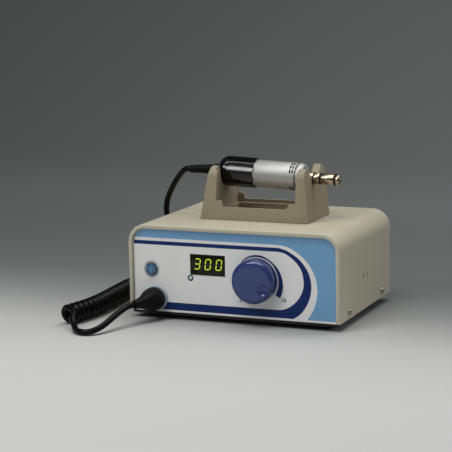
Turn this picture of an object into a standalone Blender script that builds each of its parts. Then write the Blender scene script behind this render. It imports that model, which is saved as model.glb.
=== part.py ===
"""Micromotor polisher: a bench control unit, its cradle, the micromotor and its curly cord.

Metres, +Z up, front towards -Y. Places are given in the unit's own measures: x from the middle
of the cover, y from its front rim backwards and z from its lower edge. at() turns them into the
model's frame, whose origin lies on the surface below the middle of the unit.
"""
import math

import bmesh
import bpy
from mathutils import Matrix, Vector

# Fits, facets and shading
CLEARANCE = 0.0003
OVERRUN = 0.003
LARGE_STEPS = 32
MIDDLE_STEPS = 18
SMALL_STEPS = 10
BEND_STEPS = 5
SMOOTH_ANGLE = math.radians(32)
WELD = 0.000001
FULL_TURN = 2 * math.pi
QUARTER_TURN = math.pi / 2

# Cover: one bent sheet with a hem round its front and its back
COVER_WIDTH = 0.182
COVER_DEPTH = 0.1325
COVER_HEIGHT = 0.0713
COVER_BEND = 0.015
COVER_SHEET = 0.0015
HEM_WIDTH = 0.0033
HEM_DEPTH = 0.0026
HEM_ROUND = 0.0009
SIDE_SLOT_WIDTH = 0.001
SIDE_SLOT_HEIGHT = 0.0034
SIDE_SLOT_LEVEL = 0.0278
SIDE_SLOT_FIRST = 0.0592
SIDE_SLOT_PITCH = 0.0105

# Base tray
TRAY_SHEET = 0.0012
TRAY_DROP = 0.0024
TRAY_BEND = 0.002
TRAY_FLANGE = 0.012
TRAY_SET_BACK = 0.0026
STUD_RADIUS = 0.003
STUD_HEIGHT = 0.006

# Feet
FOOT_HEIGHT = 0.0038
FOOT_RADIUS = 0.008
FOOT_CHAMFER = 0.0007
FOOT_INSET = 0.0185
FOOT_STEM_RADIUS = 0.002
FOOT_STEM_LENGTH = 0.0028
FLOOR_LIFT = FOOT_HEIGHT + CLEARANCE + TRAY_DROP

# Screws
COVER_SCREW_HEAD_RADIUS = 0.00275
COVER_SCREW_HEAD_HEIGHT = 0.0017
COVER_SCREW_RADIUS = 0.0015
COVER_SCREW_LENGTH = 0.0065
COVER_SCREW_LEVEL = 0.0058
COVER_SCREW_FRONT = 0.0228
COVER_SCREW_BACK = 0.0238
COVER_SCREW_PITCH = COVER_DEPTH - COVER_SCREW_FRONT - COVER_SCREW_BACK
CRADLE_SCREW_HEAD_RADIUS = 0.0035
CRADLE_SCREW_HEAD_HEIGHT = 0.0022
CRADLE_SCREW_RADIUS = 0.0018
CRADLE_SCREW_LENGTH = 0.0095

# Front and rear panels
PANEL_SHEET = 0.002
PANEL_DROP = 0.0006
OVERLAY_SHEET = 0.0004
OVERLAY_DROP = 0.0002
FLANGE_GAP = 0.0003
OVERLAY_FACE = HEM_DEPTH
PANEL_FACE = OVERLAY_FACE + OVERLAY_SHEET + CLEARANCE
PANEL_STACK = OVERLAY_SHEET + CLEARANCE + PANEL_SHEET
REAR_FACE = COVER_DEPTH - HEM_DEPTH - OVERLAY_SHEET

# Display and indicator
WINDOW_WIDTH = 0.030
WINDOW_HEIGHT = 0.0165
WINDOW_SIDE_SHARE = 0.11978
WINDOW_X = -COVER_WIDTH * WINDOW_SIDE_SHARE
WINDOW_Z = 0.0403
WINDOW_LIP = 0.0006
WINDOW_FLANGE = 0.001
WINDOW_PROUD = 0.0003
DISPLAY_MARGIN = 0.0015
DISPLAY_EDGE = 0.0006
LAMP_OFFSET = 0.0151
LAMP_X = WINDOW_X - LAMP_OFFSET
LAMP_Z = 0.0291
LAMP_RADIUS = 0.0014
LAMP_PROUD = 0.0008
LAMP_COLLAR_RADIUS = 0.0020
LAMP_COLLAR = 0.001

# Power button
BUTTON_SIDE_SHARE = 0.39286
BUTTON_X = -COVER_WIDTH * BUTTON_SIDE_SHARE
BUTTON_Z = 0.0346
BUTTON_RADIUS = 0.0046
BUTTON_PROUD = 0.0021
BUTTON_ROUND = 0.0006
BUTTON_TRAVEL = 0.0012
BUTTON_STEM_RADIUS = 0.0015
BUTTON_STEM_DIP = 0.0015
BEZEL_WALL = 0.0005
BEZEL_LIP = 0.0008
BEZEL_PROUD = 0.0009
SWITCH_WIDTH = 0.008
SWITCH_HEIGHT = 0.004
SWITCH_POCKET = 0.0032

# Speed knob, its spindle and the potentiometer
KNOB_SIDE_SHARE = 0.11374
KNOB_X = COVER_WIDTH * KNOB_SIDE_SHARE
KNOB_Z = 0.0311
KNOB_RADIUS = 0.0183
KNOB_REACH = 0.010
KNOB_GAP = 0.0011
KNOB_FILLET = 0.0045
KNOB_WALL = 0.0018
KNOB_FACE_WALL = 0.004
KNOB_HUB_RADIUS = 0.0055
DIMPLE_OFFSET = 0.0112
DIMPLE_RADIUS = 0.0050
DIMPLE_DEPTH = 0.0017
DIMPLE_ANGLE = math.radians(-29)
SPINDLE_RADIUS = 0.003
BUSH_RADIUS = 0.0045
BUSH_REACH = 0.0032
POT_RADIUS = 0.012
POT_DEPTH = 0.010
POT_NUT_FLATS = 0.0108
POT_NUT_HEIGHT = 0.002

# Control board behind the front panel, from behind the button to beside the potentiometer
BOARD_DEPTH = 0.0114
BOARD_SHEET = 0.0016
BOARD_OVERHANG = 0.0085
BOARD_GAP = 0.0067
BOARD_LEFT = BUTTON_X - BOARD_OVERHANG
BOARD_RIGHT = KNOB_X - POT_RADIUS - BOARD_GAP
BOARD_BOTTOM = 0.0245
BOARD_TOP = 0.0565
STANDOFF_FLATS = 0.0055
STANDOFF_INSET = 0.0045

# Motor jack and the plug in it
JACK_SIDE_SHARE = 0.37363
JACK_X = -COVER_WIDTH * JACK_SIDE_SHARE
JACK_Z = 0.0108
JACK_FLANGE_RADIUS = 0.0104
JACK_FLANGE = 0.0015
JACK_FLANGE_CHAMFER = 0.0004
JACK_BARREL_RADIUS = 0.008
JACK_BORE_RADIUS = 0.0066
JACK_DEPTH = 0.014
JACK_FLOOR = 0.002
JACK_NUT_FLATS = 0.019
JACK_NUT_HEIGHT = 0.003
SHELL_REACH = 0.008
BOOT_TIP_SHIFT = 0.0070
BOOT_TIP_X = JACK_X - BOOT_TIP_SHIFT
BOOT_TIP_Y = -0.0250
BOOT_TIP_Z = 0.0100
BOOT_RADIUS = 0.0096
BOOT_STEPS = 20
BOOT_RINGS = 10
# The boot's radius along its length, as shares of its largest
BOOT_SHARES = (0.93, 1.0, 0.985, 0.93, 0.84, 0.73, 0.62, 0.52, 0.45, 0.40, 0.365)

# Rear panel fittings
INLET_SIDE_SHARE = 0.32967
INLET_X = COVER_WIDTH * INLET_SIDE_SHARE
INLET_WIDTH = 0.031
INLET_HEIGHT = 0.025
INLET_FLANGE = 0.002
INLET_BODY_DEPTH = 0.018
INLET_MARGIN = 0.0018
INLET_WALL = 0.0018
INLET_SOCKET_DEPTH = 0.0165
INLET_PIN_WIDTH = 0.002
INLET_PIN_HEIGHT = 0.004
INLET_PIN_LENGTH = 0.0135
INLET_PIN_SPREAD = 0.007
INLET_PIN_RISE = 0.0035
SWITCH_ROW_LEVEL = 0.034
ROCKER_SIDE_SHARE = 0.15385
ROCKER_X = COVER_WIDTH * ROCKER_SIDE_SHARE
ROCKER_WINDOW_WIDTH = 0.0116
ROCKER_WINDOW_HEIGHT = 0.0190
ROCKER_RIM = 0.0026
ROCKER_BODY_WALL = 0.0014
ROCKER_FLANGE = 0.0018
ROCKER_BODY_DEPTH = 0.013
ROCKER_POCKET = 0.010
ROCKER_TILT = math.radians(11)
ROCKER_CREST = 0.0024
ROCKER_SKIRT = 0.0030
ROCKER_HALF_LENGTH = 0.0084
ROCKER_SKIRT_SHARE = 0.82
FUSE_X = 0.000
FUSE_REACH = 0.010
FUSE_CAP_RADIUS = 0.0063
FUSE_CAP_FLANGE_RADIUS = 0.0078
FUSE_CAP_FLANGE = 0.0015
FUSE_CAP_CHAMFER = 0.0008
FUSE_BODY_RADIUS = 0.0055
FUSE_BODY_DEPTH = 0.024
PEDAL_SIDE_SHARE = 0.34066
PEDAL_X = -COVER_WIDTH * PEDAL_SIDE_SHARE
PEDAL_LEVEL = 0.020
PEDAL_FLANGE_RADIUS = 0.0095
PEDAL_FLANGE = 0.0018
PEDAL_BARREL_RADIUS = 0.0078
PEDAL_REACH = 0.004
PEDAL_BORE_RADIUS = 0.0062
PEDAL_BODY_DEPTH = 0.012
PEDAL_SOCKET = 0.010
VENT_WIDTH = 0.0025
VENT_HEIGHT = 0.018
VENT_PITCH_SHARE = 0.03022
VENT_PITCH = COVER_WIDTH * VENT_PITCH_SHARE
VENT_COUNT = 9
VENT_FIRST_SHARE = 0.30220
VENT_FIRST = -COVER_WIDTH * VENT_FIRST_SHARE
VENT_LEVEL = 0.048

# Transformer and power board
CORE_SIDE_SHARE = 0.24725
CORE_DEPTH_SHARE = 0.6038
CORE_X = -COVER_WIDTH * CORE_SIDE_SHARE
CORE_Y = COVER_DEPTH * CORE_DEPTH_SHARE
CORE_WIDTH = 0.054
CORE_HEIGHT = 0.045
CORE_STACK = 0.022
CORE_LEG = 0.009
WINDING_BUILD = 0.0085
POWER_BOARD_SHARE = 0.011
POWER_BOARD_INSET = 0.015
POWER_BOARD_DEPTH = 0.050
POWER_BOARD_LEAD = 0.032
POWER_BOARD_LEFT = COVER_WIDTH * POWER_BOARD_SHARE
POWER_BOARD_RIGHT = COVER_WIDTH / 2 - POWER_BOARD_INSET
POWER_BOARD_FRONT = CORE_Y - POWER_BOARD_LEAD
POWER_BOARD_BACK = POWER_BOARD_FRONT + POWER_BOARD_DEPTH
STUD_INSET = 0.006
CAPACITOR_RADIUS = 0.009
CAPACITOR_HEIGHT = 0.026
CAPACITOR_INSET = 0.0105
CAPACITOR_X = POWER_BOARD_LEFT + CAPACITOR_INSET
CAPACITOR_Y = POWER_BOARD_FRONT + 3 * STUD_INSET
CAPACITOR_NECK = 0.0006
CAPACITOR_NECK_LEVEL = 0.0035
SINK_INSET = 0.0195
SINK_X = POWER_BOARD_RIGHT - SINK_INSET
SINK_Y = POWER_BOARD_FRONT + POWER_BOARD_DEPTH / 2
SINK_WIDTH = 0.036
SINK_DEPTH = 0.020
SINK_HEIGHT = 0.030
SINK_BACK = 0.004
SINK_FIN = 0.0016
SINK_FINS = 6

# Cradle: a moulding with two end walls, two low rails and a tray between them
CRADLE_LEFT = -0.0436
CRADLE_RIGHT = 0.0510
CRADLE_FRONT = 0.0394
CRADLE_DEPTH = 0.0520
CRADLE_HEIGHT = 0.0430
CRADLE_DRAFT = 0.0006
LEFT_WALL_INNER = -0.0294
LEFT_WALL_TOP = 0.0068
LEFT_LEAN = 0.0086
RIGHT_WALL_INNER = 0.0397
RIGHT_WALL_TOP = 0.0058
RIGHT_LEAN = 0.0040
INNER_DRAFT = 0.0012
RAIL_HEIGHT = 0.0103
RAIL_SHEET = 0.0028
SHOULDER_HEIGHT = 0.0153
SHOULDER_LENGTH = 0.0052
SHOULDER_SLANT = 0.0026
TRAY_FLOOR = 0.0076
TRAY_UNDERSIDE = 0.0050
CRADLE_ROUND = 0.0085
CRADLE_EDGE = 0.0006
LEFT_NOTCH_FLARE = 0.0022
CHANNEL_RADIUS = 0.018
CHANNEL_DEPTH = 0.0018
CHANNEL_FADE = 0.024

# Motor: places along its axis run from the point above the middle of the cover
AXIS_DROP = 0.0074
MOTOR_TILT = math.radians(2.55)
RELIEF_START = -0.0626
RELIEF_COLLAR_START = -0.0410
RELIEF_END = -0.0357
RELIEF_PLUG_END = -0.0310
RELIEF_TIP_RADIUS = 0.0032
RELIEF_ROOT_RADIUS = 0.0041
RELIEF_RIB_DEPTH = 0.0007
RELIEF_RIBS = 8
RELIEF_COLLAR_RADIUS = 0.0050
RELIEF_PLUG_RADIUS = 0.0027
RELIEF_DROOP = 0.0012
SLEEVE_START = -0.0354
SLEEVE_DOME_END = -0.0270
SLEEVE_CHAMBER = -0.0264
SLEEVE_STEP = -0.0080
SLEEVE_END = -0.0020
SLEEVE_RADIUS = 0.0126
SLEEVE_NECK_RADIUS = 0.0050
SLEEVE_FLUTE = 0.00042
SLEEVE_FLUTES = 8
SLEEVE_STEPS = 40
SLEEVE_SCALLOP = 0.0010
BODY_END = 0.0334
BODY_RADIUS = 0.01135
BODY_TAIL_RADIUS = 0.0104
BODY_BORE_RADIUS = 0.0099
BODY_CHAMFER = 0.0003
NOSE_START = 0.0350
NOSE_END = 0.0395
NOSE_RADIUS = 0.0113
NOSE_TIP_RADIUS = 0.0103
NOSE_STRAIGHT = 0.0010
NOSE_GROOVE = 0.0010
NOSE_SPIGOT = 0.0129
NOSE_EDGE = 0.0005
SPIGOT_START = 0.0343
SPIGOT_SEAT = 0.0398
SPIGOT_END = 0.0696
SPIGOT_TAIL_RADIUS = 0.0036
SPIGOT_RADIUS = 0.0045
SPIGOT_BAND_RADIUS = 0.0047
SPIGOT_WAIST_RADIUS = 0.0044
SPIGOT_GROOVE_RADIUS = 0.0037
SPIGOT_BORE_RADIUS = 0.0021
SPIGOT_TIP_ROUND = 0.0012
TIP_STEPS = 3
SOCKET_RADIUS = 0.0029
SOCKET_DEPTH = 0.0040
SNAP_GROOVE = 0.0473
RING_GROOVE_REAR = 0.0532
RING_GROOVE_FRONT = 0.0653
SNAP_GROOVE_WIDTH = 0.0009
RING_GROOVE_WIDTH = 0.0016
RING_PROUD = 0.0001
SHAFT_RADIUS = 0.0015
SHAFT_START = -0.0240
DOG_SEAT = 0.0025
DOG_PROUD = 0.0007
DOG_RADIUS = 0.0022
DOG_SLOT = 0.0010
DOG_SLOT_DEPTH = 0.0016
ARMATURE_RADIUS = 0.0068
ARMATURE_START = -0.0120
ARMATURE_END = 0.0180
ARMATURE_SLOTS = 9
ARMATURE_SLOT_SHARE = 0.83
MAGNET_START = -0.0140
MAGNET_END = 0.0200
REAR_BEARING_START = -0.0240
REAR_BEARING_END = -0.0200
REAR_BEARING_RADIUS = 0.0050
FRONT_BEARING_END = 0.0270
FRONT_BEARING_RADIUS = 0.0055
BEARING_DEPTH = 0.0046
CARRIER_START = -0.0260
CARRIER_END = -0.0180
CARRIER_WIRE_RADIUS = 0.0020

# Curly cord
CORD_DIAMETER = 0.0050
CORD_SPACING = 0.0110
CURL_RADIUS = 0.0059
CURL_TURNS = 21.8
CURL_POINTS = 9
CURL_START_ANGLE = math.radians(60)
CURL_LEAD_ANGLE = math.radians(110)
CURL_FRONT_LEAD_SHARE = 2.0
CURL_REAR_LEAD_SHARE = 9.0
CURL_REST_GAP = 0.0001
CURL_AXIS = (
    (-0.1259, -0.0425), (-0.1236, -0.0301), (-0.1209, -0.0143), (-0.1205, 0.0061),
    (-0.1222, 0.0309), (-0.1242, 0.0577), (-0.1245, 0.0700), (-0.1225, 0.0860), (-0.1185, 0.1000),
)
FRONT_ROUTE = (
    (-0.1160, -0.0530, 0.0020), (-0.1120, -0.0580, -0.0022), (-0.1060, -0.0660, -0.0039),
    (-0.0985, -0.0700, -0.0040), (-0.0915, -0.0680, -0.0034), (-0.0865, -0.0600, -0.0010),
    (-0.0835, -0.0500, 0.0028), (-0.0805, -0.0390, 0.0070),
)
TAIL_ROUTE = (
    (-0.1090, 0.1075, 0.0150), (-0.1050, 0.1095, 0.0290), (-0.1015, 0.1060, 0.0430),
    (-0.0990, 0.0975, 0.0560), (-0.0968, 0.0875, 0.0680), (-0.0925, 0.0812, 0.0795),
    (-0.0860, 0.0775, 0.0905), (-0.0780, 0.0735, 0.1005),
)

# The unit's middle lies over the origin, between the knob's face and the fuse cap
FRONT_Y = -(COVER_DEPTH + FUSE_REACH - KNOB_REACH) / 2
FRONT_TURN = (QUARTER_TURN, 0, 0)
REAR_TURN = (-QUARTER_TURN, 0, 0)
RIGHT_TURN = (0, QUARTER_TURN, 0)
LEFT_TURN = (0, -QUARTER_TURN, 0)
CRADLE_Y = CRADLE_FRONT + CRADLE_DEPTH / 2
MOTOR_Y = CRADLE_Y
CRADLE_Z = COVER_HEIGHT + CLEARANCE
MOTOR_LEVEL = CRADLE_Z + CRADLE_HEIGHT - AXIS_DROP


def at(x, y, z):
    """Turn a place in the unit's own measures into one in the model's frame."""
    return Vector((x, FRONT_Y + y, FLOOR_LIFT + z))


def clear_scene():
    for old in list(bpy.data.objects):
        bpy.data.objects.remove(old, do_unlink=True)


def finish(name, colour, roughness, metallic=0.0):
    material = bpy.data.materials.new(name)
    material.use_nodes = True
    shader = material.node_tree.nodes["Principled BSDF"]
    shader.inputs["Base Color"].default_value = (*colour, 1.0)
    shader.inputs["Roughness"].default_value = roughness
    shader.inputs["Metallic"].default_value = metallic
    material.diffuse_color = (*colour, 1.0)
    return material


def link(name, data, location, rotation, parent):
    piece = bpy.data.objects.new(name, data)
    bpy.context.scene.collection.objects.link(piece)
    piece.location = location
    piece.rotation_euler = rotation
    piece.parent = parent
    return piece


def add_piece(name, bm, material, location=(0, 0, 0), rotation=(0, 0, 0), parent=None):
    """Make an object of a finished bmesh, shaded smooth up to its sharp edges."""
    bmesh.ops.recalc_face_normals(bm, faces=bm.faces[:])
    mesh = bpy.data.meshes.new(name)
    bm.to_mesh(mesh)
    bm.free()
    mesh.shade_smooth()
    mesh.set_sharp_from_angle(angle=SMOOTH_ANGLE)
    mesh.materials.append(material)
    return link(name, mesh, location, rotation, parent)


def add_cutter(name, bm, location=(0, 0, 0), rotation=(0, 0, 0), parent=None):
    """A shape that other pieces are cut or joined with, and that is no piece itself."""
    cutter = add_piece(name, bm, FINISHES["cutter"], location, rotation, parent)
    cutter.hide_render = True
    cutter.display_type = "WIRE"
    return cutter


def combine(piece, cutter, operation="DIFFERENCE"):
    modifier = piece.modifiers.new(cutter.name, "BOOLEAN")
    modifier.operation = operation
    modifier.solver = "EXACT"
    modifier.object = cutter


def arc(centre, radius, start, end, steps=BEND_STEPS):
    """Points on an arc, both ends included; angles are in quarter turns."""
    points = []
    for step in range(steps + 1):
        angle = QUARTER_TURN * (start + (end - start) * step / steps)
        points.append((centre[0] + radius * math.cos(angle), centre[1] + radius * math.sin(angle)))
    return points


def prism(outline, length):
    """Close an outline in the local XZ plane and extrude it along +Y."""
    bm = bmesh.new()
    face = bm.faces.new([bm.verts.new((x, 0, z)) for x, z in outline])
    swept = bmesh.ops.extrude_face_region(bm, geom=[face])["geom"]
    moved = [item for item in swept if isinstance(item, bmesh.types.BMVert)]
    bmesh.ops.translate(bm, verts=moved, vec=(0, length, 0))
    return bm


def turned(profile, steps, closed=False):
    """Spin a profile of (radius, height) points round the local Z axis."""
    bm = bmesh.new()
    points = [bm.verts.new((radius, 0, height)) for radius, height in profile]
    edges = [bm.edges.new(pair) for pair in zip(points, points[1:])]
    if closed:
        edges.append(bm.edges.new((points[-1], points[0])))
    bmesh.ops.spin(bm, geom=points + edges, cent=(0, 0, 0), axis=(0, 0, 1),
                   angle=FULL_TURN, steps=steps, use_merge=True)
    bmesh.ops.remove_doubles(bm, verts=bm.verts[:], dist=WELD)
    return bm


def rod(radius, bottom, top, steps=SMALL_STEPS):
    return turned([(0, bottom), (radius, bottom), (radius, top), (0, top)], steps)


def lofted(rings, ring_closed=False):
    """Bridge rings of points; the last ring meets the first, or both ends get a face."""
    bm = bmesh.new()
    loops = [[bm.verts.new(point) for point in ring] for ring in rings]
    pairs = list(zip(loops, loops[1:]))
    if ring_closed:
        pairs.append((loops[-1], loops[0]))
    else:
        bm.faces.new(loops[0])
        bm.faces.new(loops[-1])
    for near, far in pairs:
        for index in range(len(near)):
            after = (index + 1) % len(near)
            bm.faces.new((near[index], near[after], far[after], far[index]))
    return bm


def block(width, depth, height, edge=0.0):
    """A box round the local origin; edge chamfers all its edges."""
    bm = bmesh.new()
    bmesh.ops.create_cube(bm, size=1, matrix=Matrix.Diagonal((width, depth, height, 1)))
    if edge:
        bmesh.ops.bevel(bm, geom=bm.edges[:], offset=edge, segments=1, affect="EDGES")
    return bm


def face_towards(bm, direction):
    """The face that lies furthest along a direction and looks that way."""
    direction = Vector(direction)
    bm.normal_update()
    facing = [face for face in bm.faces if face.normal.dot(direction) > math.cos(SMOOTH_ANGLE)]
    return max(facing, key=lambda face: face.calc_center_median().dot(direction))


def step_face(bm, face, margin, push):
    """Inset a face by a margin and push it out along its normal, or in where push is negative."""
    outward = face.normal.copy()
    bmesh.ops.inset_region(bm, faces=[face], thickness=margin, use_even_offset=True)
    pushed = bmesh.ops.extrude_discrete_faces(bm, faces=[face])["faces"][0]
    bmesh.ops.translate(bm, verts=pushed.verts[:], vec=outward * push)
    bm.normal_update()
    return pushed


def hex_ring(flats, bore, height):
    """A hexagon nut without its thread, standing on the local XY plane."""
    sixth = FULL_TURN / 6
    angles = [FULL_TURN * step / MIDDLE_STEPS for step in range(MIDDLE_STEPS)]
    rings = []
    for level in (0, height):
        rings.append([(bore * math.cos(a), bore * math.sin(a), level) for a in angles])
    for level in (height, 0):
        ring = []
        for angle in angles:
            reach = flats / 2 / math.cos(angle % sixth - sixth / 2)
            ring.append((reach * math.cos(angle), reach * math.sin(angle), level))
        rings.append(ring)
    return lofted(rings, ring_closed=True)


def bent_path(width, bend, bottom, top, opening_down):
    """Corners of a sheet bent to a U, as (x, z, outward x, outward z), from left to right."""
    side = width / 2
    spread = side - bend
    if opening_down:
        ends, level, turns = bottom, top - bend, ((2, 1), (1, 0))
    else:
        ends, level, turns = top, bottom + bend, ((-2, -1), (-1, 0))
    path = [(-side, ends, -1, 0)]
    for middle, (start, end) in zip((-spread, spread), turns):
        for x, z in arc((middle, level), bend, start, end):
            path.append((x, z, (x - middle) / bend, (z - level) / bend))
    path.append((side, ends, 1, 0))
    return path


def bent_sheet(path, section):
    """Carry a sheet's section of (inset, y) points along a bent path."""
    rings = []
    for x, z, out_x, out_z in path:
        rings.append([(x - out_x * inset, y, z - out_z * inset) for inset, y in section])
    return lofted(rings)


def arch(width, bottom, top, corner):
    """Outline of a plate with square lower corners and round upper ones."""
    side = width / 2
    outline = [(-side, bottom), (side, bottom)]
    outline += arc((side - corner, top - corner), corner, 0, 1)
    outline += arc((corner - side, top - corner), corner, 1, 2)
    return outline


def build_cover():
    start = [(inset, y) for inset, y in arc((HEM_ROUND, HEM_ROUND), HEM_ROUND, 2, 3)]
    start += arc((HEM_WIDTH - HEM_ROUND, HEM_ROUND), HEM_ROUND, 3, 4)
    start += [(HEM_WIDTH, HEM_DEPTH), (COVER_SHEET, HEM_DEPTH)]
    end = [(inset, COVER_DEPTH - y) for inset, y in reversed(start)]
    path = bent_path(COVER_WIDTH, COVER_BEND, 0, COVER_HEIGHT, opening_down=True)
    cover = add_piece("cover", bent_sheet(path, start + end), FINISHES["cover"], at(0, 0, 0))
    hole = COVER_SCREW_RADIUS + CLEARANCE
    for number in range(2):
        y = COVER_SCREW_FRONT + number * COVER_SCREW_PITCH
        bore = rod(hole, -COVER_WIDTH / 2 - OVERRUN, COVER_WIDTH / 2 + OVERRUN)
        cutter = add_cutter(f"side_bore_{number + 1}", bore, at(0, y, COVER_SCREW_LEVEL), RIGHT_TURN)
        combine(cover, cutter)
        slot = block(COVER_WIDTH + OVERRUN, SIDE_SLOT_WIDTH, SIDE_SLOT_HEIGHT)
        y = SIDE_SLOT_FIRST + number * SIDE_SLOT_PITCH
        combine(cover, add_cutter(f"side_slot_{number + 1}", slot, at(0, y, SIDE_SLOT_LEVEL)))
    for name, x in cradle_screw_places():
        bore = rod(CRADLE_SCREW_RADIUS + CLEARANCE, -OVERRUN, OVERRUN)
        combine(cover, add_cutter(f"cover_{name}_bore", bore, at(x, CRADLE_Y, COVER_HEIGHT)))


def cradle_screw_places():
    left = (CRADLE_LEFT + LEFT_WALL_INNER) / 2
    right = (CRADLE_RIGHT + RIGHT_WALL_INNER) / 2
    return (("cradle_screw_left", left), ("cradle_screw_right", right))


def foot_places():
    places = []
    for side, x in (("left", FOOT_INSET - COVER_WIDTH / 2), ("right", COVER_WIDTH / 2 - FOOT_INSET)):
        places.append((f"foot_front_{side}", x, FOOT_INSET))
        places.append((f"foot_rear_{side}", x, COVER_DEPTH - FOOT_INSET))
    return places


def build_base_tray():
    width = COVER_WIDTH - 2 * (COVER_SHEET + CLEARANCE)
    length = COVER_DEPTH - 2 * TRAY_SET_BACK
    floor = TRAY_SHEET - TRAY_DROP
    path = bent_path(width, TRAY_BEND, -TRAY_DROP, TRAY_FLANGE, opening_down=False)
    section = ((0, 0), (TRAY_SHEET, 0), (TRAY_SHEET, length), (0, length))
    tray = add_piece("base_tray", bent_sheet(path, section), FINISHES["tray"], at(0, TRAY_SET_BACK, 0))
    relief = PANEL_FACE + PANEL_SHEET + CLEARANCE
    low = floor + CLEARANCE
    high = TRAY_FLANGE + OVERRUN
    for name, y in (("front", 0), ("rear", COVER_DEPTH - relief)):
        notch = block(COVER_WIDTH, relief, high - low)
        combine(tray, add_cutter(f"tray_relief_{name}", notch, at(0, y + relief / 2, (high + low) / 2)))
    bore = rod(COVER_SCREW_RADIUS + CLEARANCE, -COVER_WIDTH / 2, COVER_WIDTH / 2)
    for number in range(2):
        y = COVER_SCREW_FRONT + number * COVER_SCREW_PITCH
        cutter = add_cutter(f"tray_bore_{number + 1}", bore.copy(), at(0, y, COVER_SCREW_LEVEL), RIGHT_TURN)
        combine(tray, cutter)
    bore.free()
    for name, x, y in foot_places():
        bore = rod(FOOT_STEM_RADIUS + CLEARANCE, -TRAY_SHEET - OVERRUN, OVERRUN)
        combine(tray, add_cutter(f"{name}_bore", bore, at(x, y, floor)))
    left, right = POWER_BOARD_LEFT + STUD_INSET, POWER_BOARD_RIGHT - STUD_INSET
    front, back = POWER_BOARD_FRONT + STUD_INSET, POWER_BOARD_BACK - STUD_INSET
    for number, (x, y) in enumerate(((left, front), (right, front), (left, back), (right, back))):
        stud = rod(STUD_RADIUS, -TRAY_SHEET / 2, STUD_HEIGHT)
        combine(tray, add_cutter(f"tray_stud_{number + 1}", stud, at(x, y, floor)), "UNION")


def build_feet():
    inner = FOOT_RADIUS - FOOT_CHAMFER
    stem = FOOT_HEIGHT + FOOT_STEM_LENGTH
    profile = [(0, 0), (inner, 0), (FOOT_RADIUS, FOOT_CHAMFER), (FOOT_RADIUS, FOOT_HEIGHT),
               (FOOT_STEM_RADIUS, FOOT_HEIGHT), (FOOT_STEM_RADIUS, stem), (0, stem)]
    for name, x, y in foot_places():
        add_piece(name, turned(profile, MIDDLE_STEPS), FINISHES["rubber"], at(x, y, -FLOOR_LIFT))


def pan_screw(head_radius, head_height, radius, length):
    """A pan-head screw whose seat is the local XY plane, with its head on +Z."""
    crown = head_height - CLEARANCE
    dome = [(head_radius * math.cos(a), CLEARANCE + crown * math.sin(a))
            for a in (0, QUARTER_TURN / 3, QUARTER_TURN * 2 / 3)]
    profile = [(0, head_height)] + dome[::-1] + [(radius, CLEARANCE), (radius, -length), (0, -length)]
    return turned(profile, SMALL_STEPS)


def build_screws():
    for side, x, turn in (("left", -COVER_WIDTH / 2, LEFT_TURN), ("right", COVER_WIDTH / 2, RIGHT_TURN)):
        for end, y in (("front", COVER_SCREW_FRONT), ("rear", COVER_SCREW_FRONT + COVER_SCREW_PITCH)):
            screw = pan_screw(COVER_SCREW_HEAD_RADIUS, COVER_SCREW_HEAD_HEIGHT,
                              COVER_SCREW_RADIUS, COVER_SCREW_LENGTH)
            add_piece(f"cover_screw_{end}_{side}", screw, FINISHES["nickel"],
                      at(x, y, COVER_SCREW_LEVEL), turn)
    for name, x in cradle_screw_places():
        screw = pan_screw(CRADLE_SCREW_HEAD_RADIUS, CRADLE_SCREW_HEAD_HEIGHT,
                          CRADLE_SCREW_RADIUS, CRADLE_SCREW_LENGTH)
        add_piece(name, screw, FINISHES["nickel"],
                  at(x, CRADLE_Y, COVER_HEIGHT - COVER_SHEET), (2 * QUARTER_TURN, 0, 0))


def front_cutters():
    """Openings through the overlay and the front panel, shared by both."""
    reach = PANEL_STACK + OVERRUN
    window = block(WINDOW_WIDTH + 2 * CLEARANCE, 2 * reach, WINDOW_HEIGHT + 2 * CLEARANCE)
    cutters = [add_cutter("window_opening", window, at(WINDOW_X, OVERLAY_FACE, WINDOW_Z))]
    for name, radius, x, z in (
            ("lamp_opening", LAMP_RADIUS, LAMP_X, LAMP_Z),
            ("button_opening", BUTTON_RADIUS + CLEARANCE + BEZEL_WALL, BUTTON_X, BUTTON_Z),
            ("bush_opening", BUSH_RADIUS, KNOB_X, KNOB_Z),
            ("jack_opening", JACK_BARREL_RADIUS, JACK_X, JACK_Z)):
        bore = rod(radius + CLEARANCE, -reach, reach, MIDDLE_STEPS)
        cutters.append(add_cutter(name, bore, at(x, OVERLAY_FACE, z), FRONT_TURN))
    return cutters


def build_front_panel():
    cutters = front_cutters()
    top = COVER_HEIGHT - COVER_SHEET - CLEARANCE
    width = COVER_WIDTH - 2 * (COVER_SHEET + CLEARANCE)
    plate = prism(arch(width, -PANEL_DROP, top, COVER_BEND - COVER_SHEET - CLEARANCE), PANEL_SHEET)
    panel = add_piece("front_panel", plate, FINISHES["panel"], at(0, PANEL_FACE, 0))
    top = COVER_HEIGHT - HEM_WIDTH - CLEARANCE
    width = COVER_WIDTH - 2 * (HEM_WIDTH + CLEARANCE)
    film = prism(arch(width, -OVERLAY_DROP, top, COVER_BEND - HEM_WIDTH - CLEARANCE), OVERLAY_SHEET)
    overlay = add_piece("panel_overlay", film, FINISHES["overlay"], at(0, OVERLAY_FACE, 0))
    for cutter in cutters:
        combine(panel, cutter)
        combine(overlay, cutter)


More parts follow.
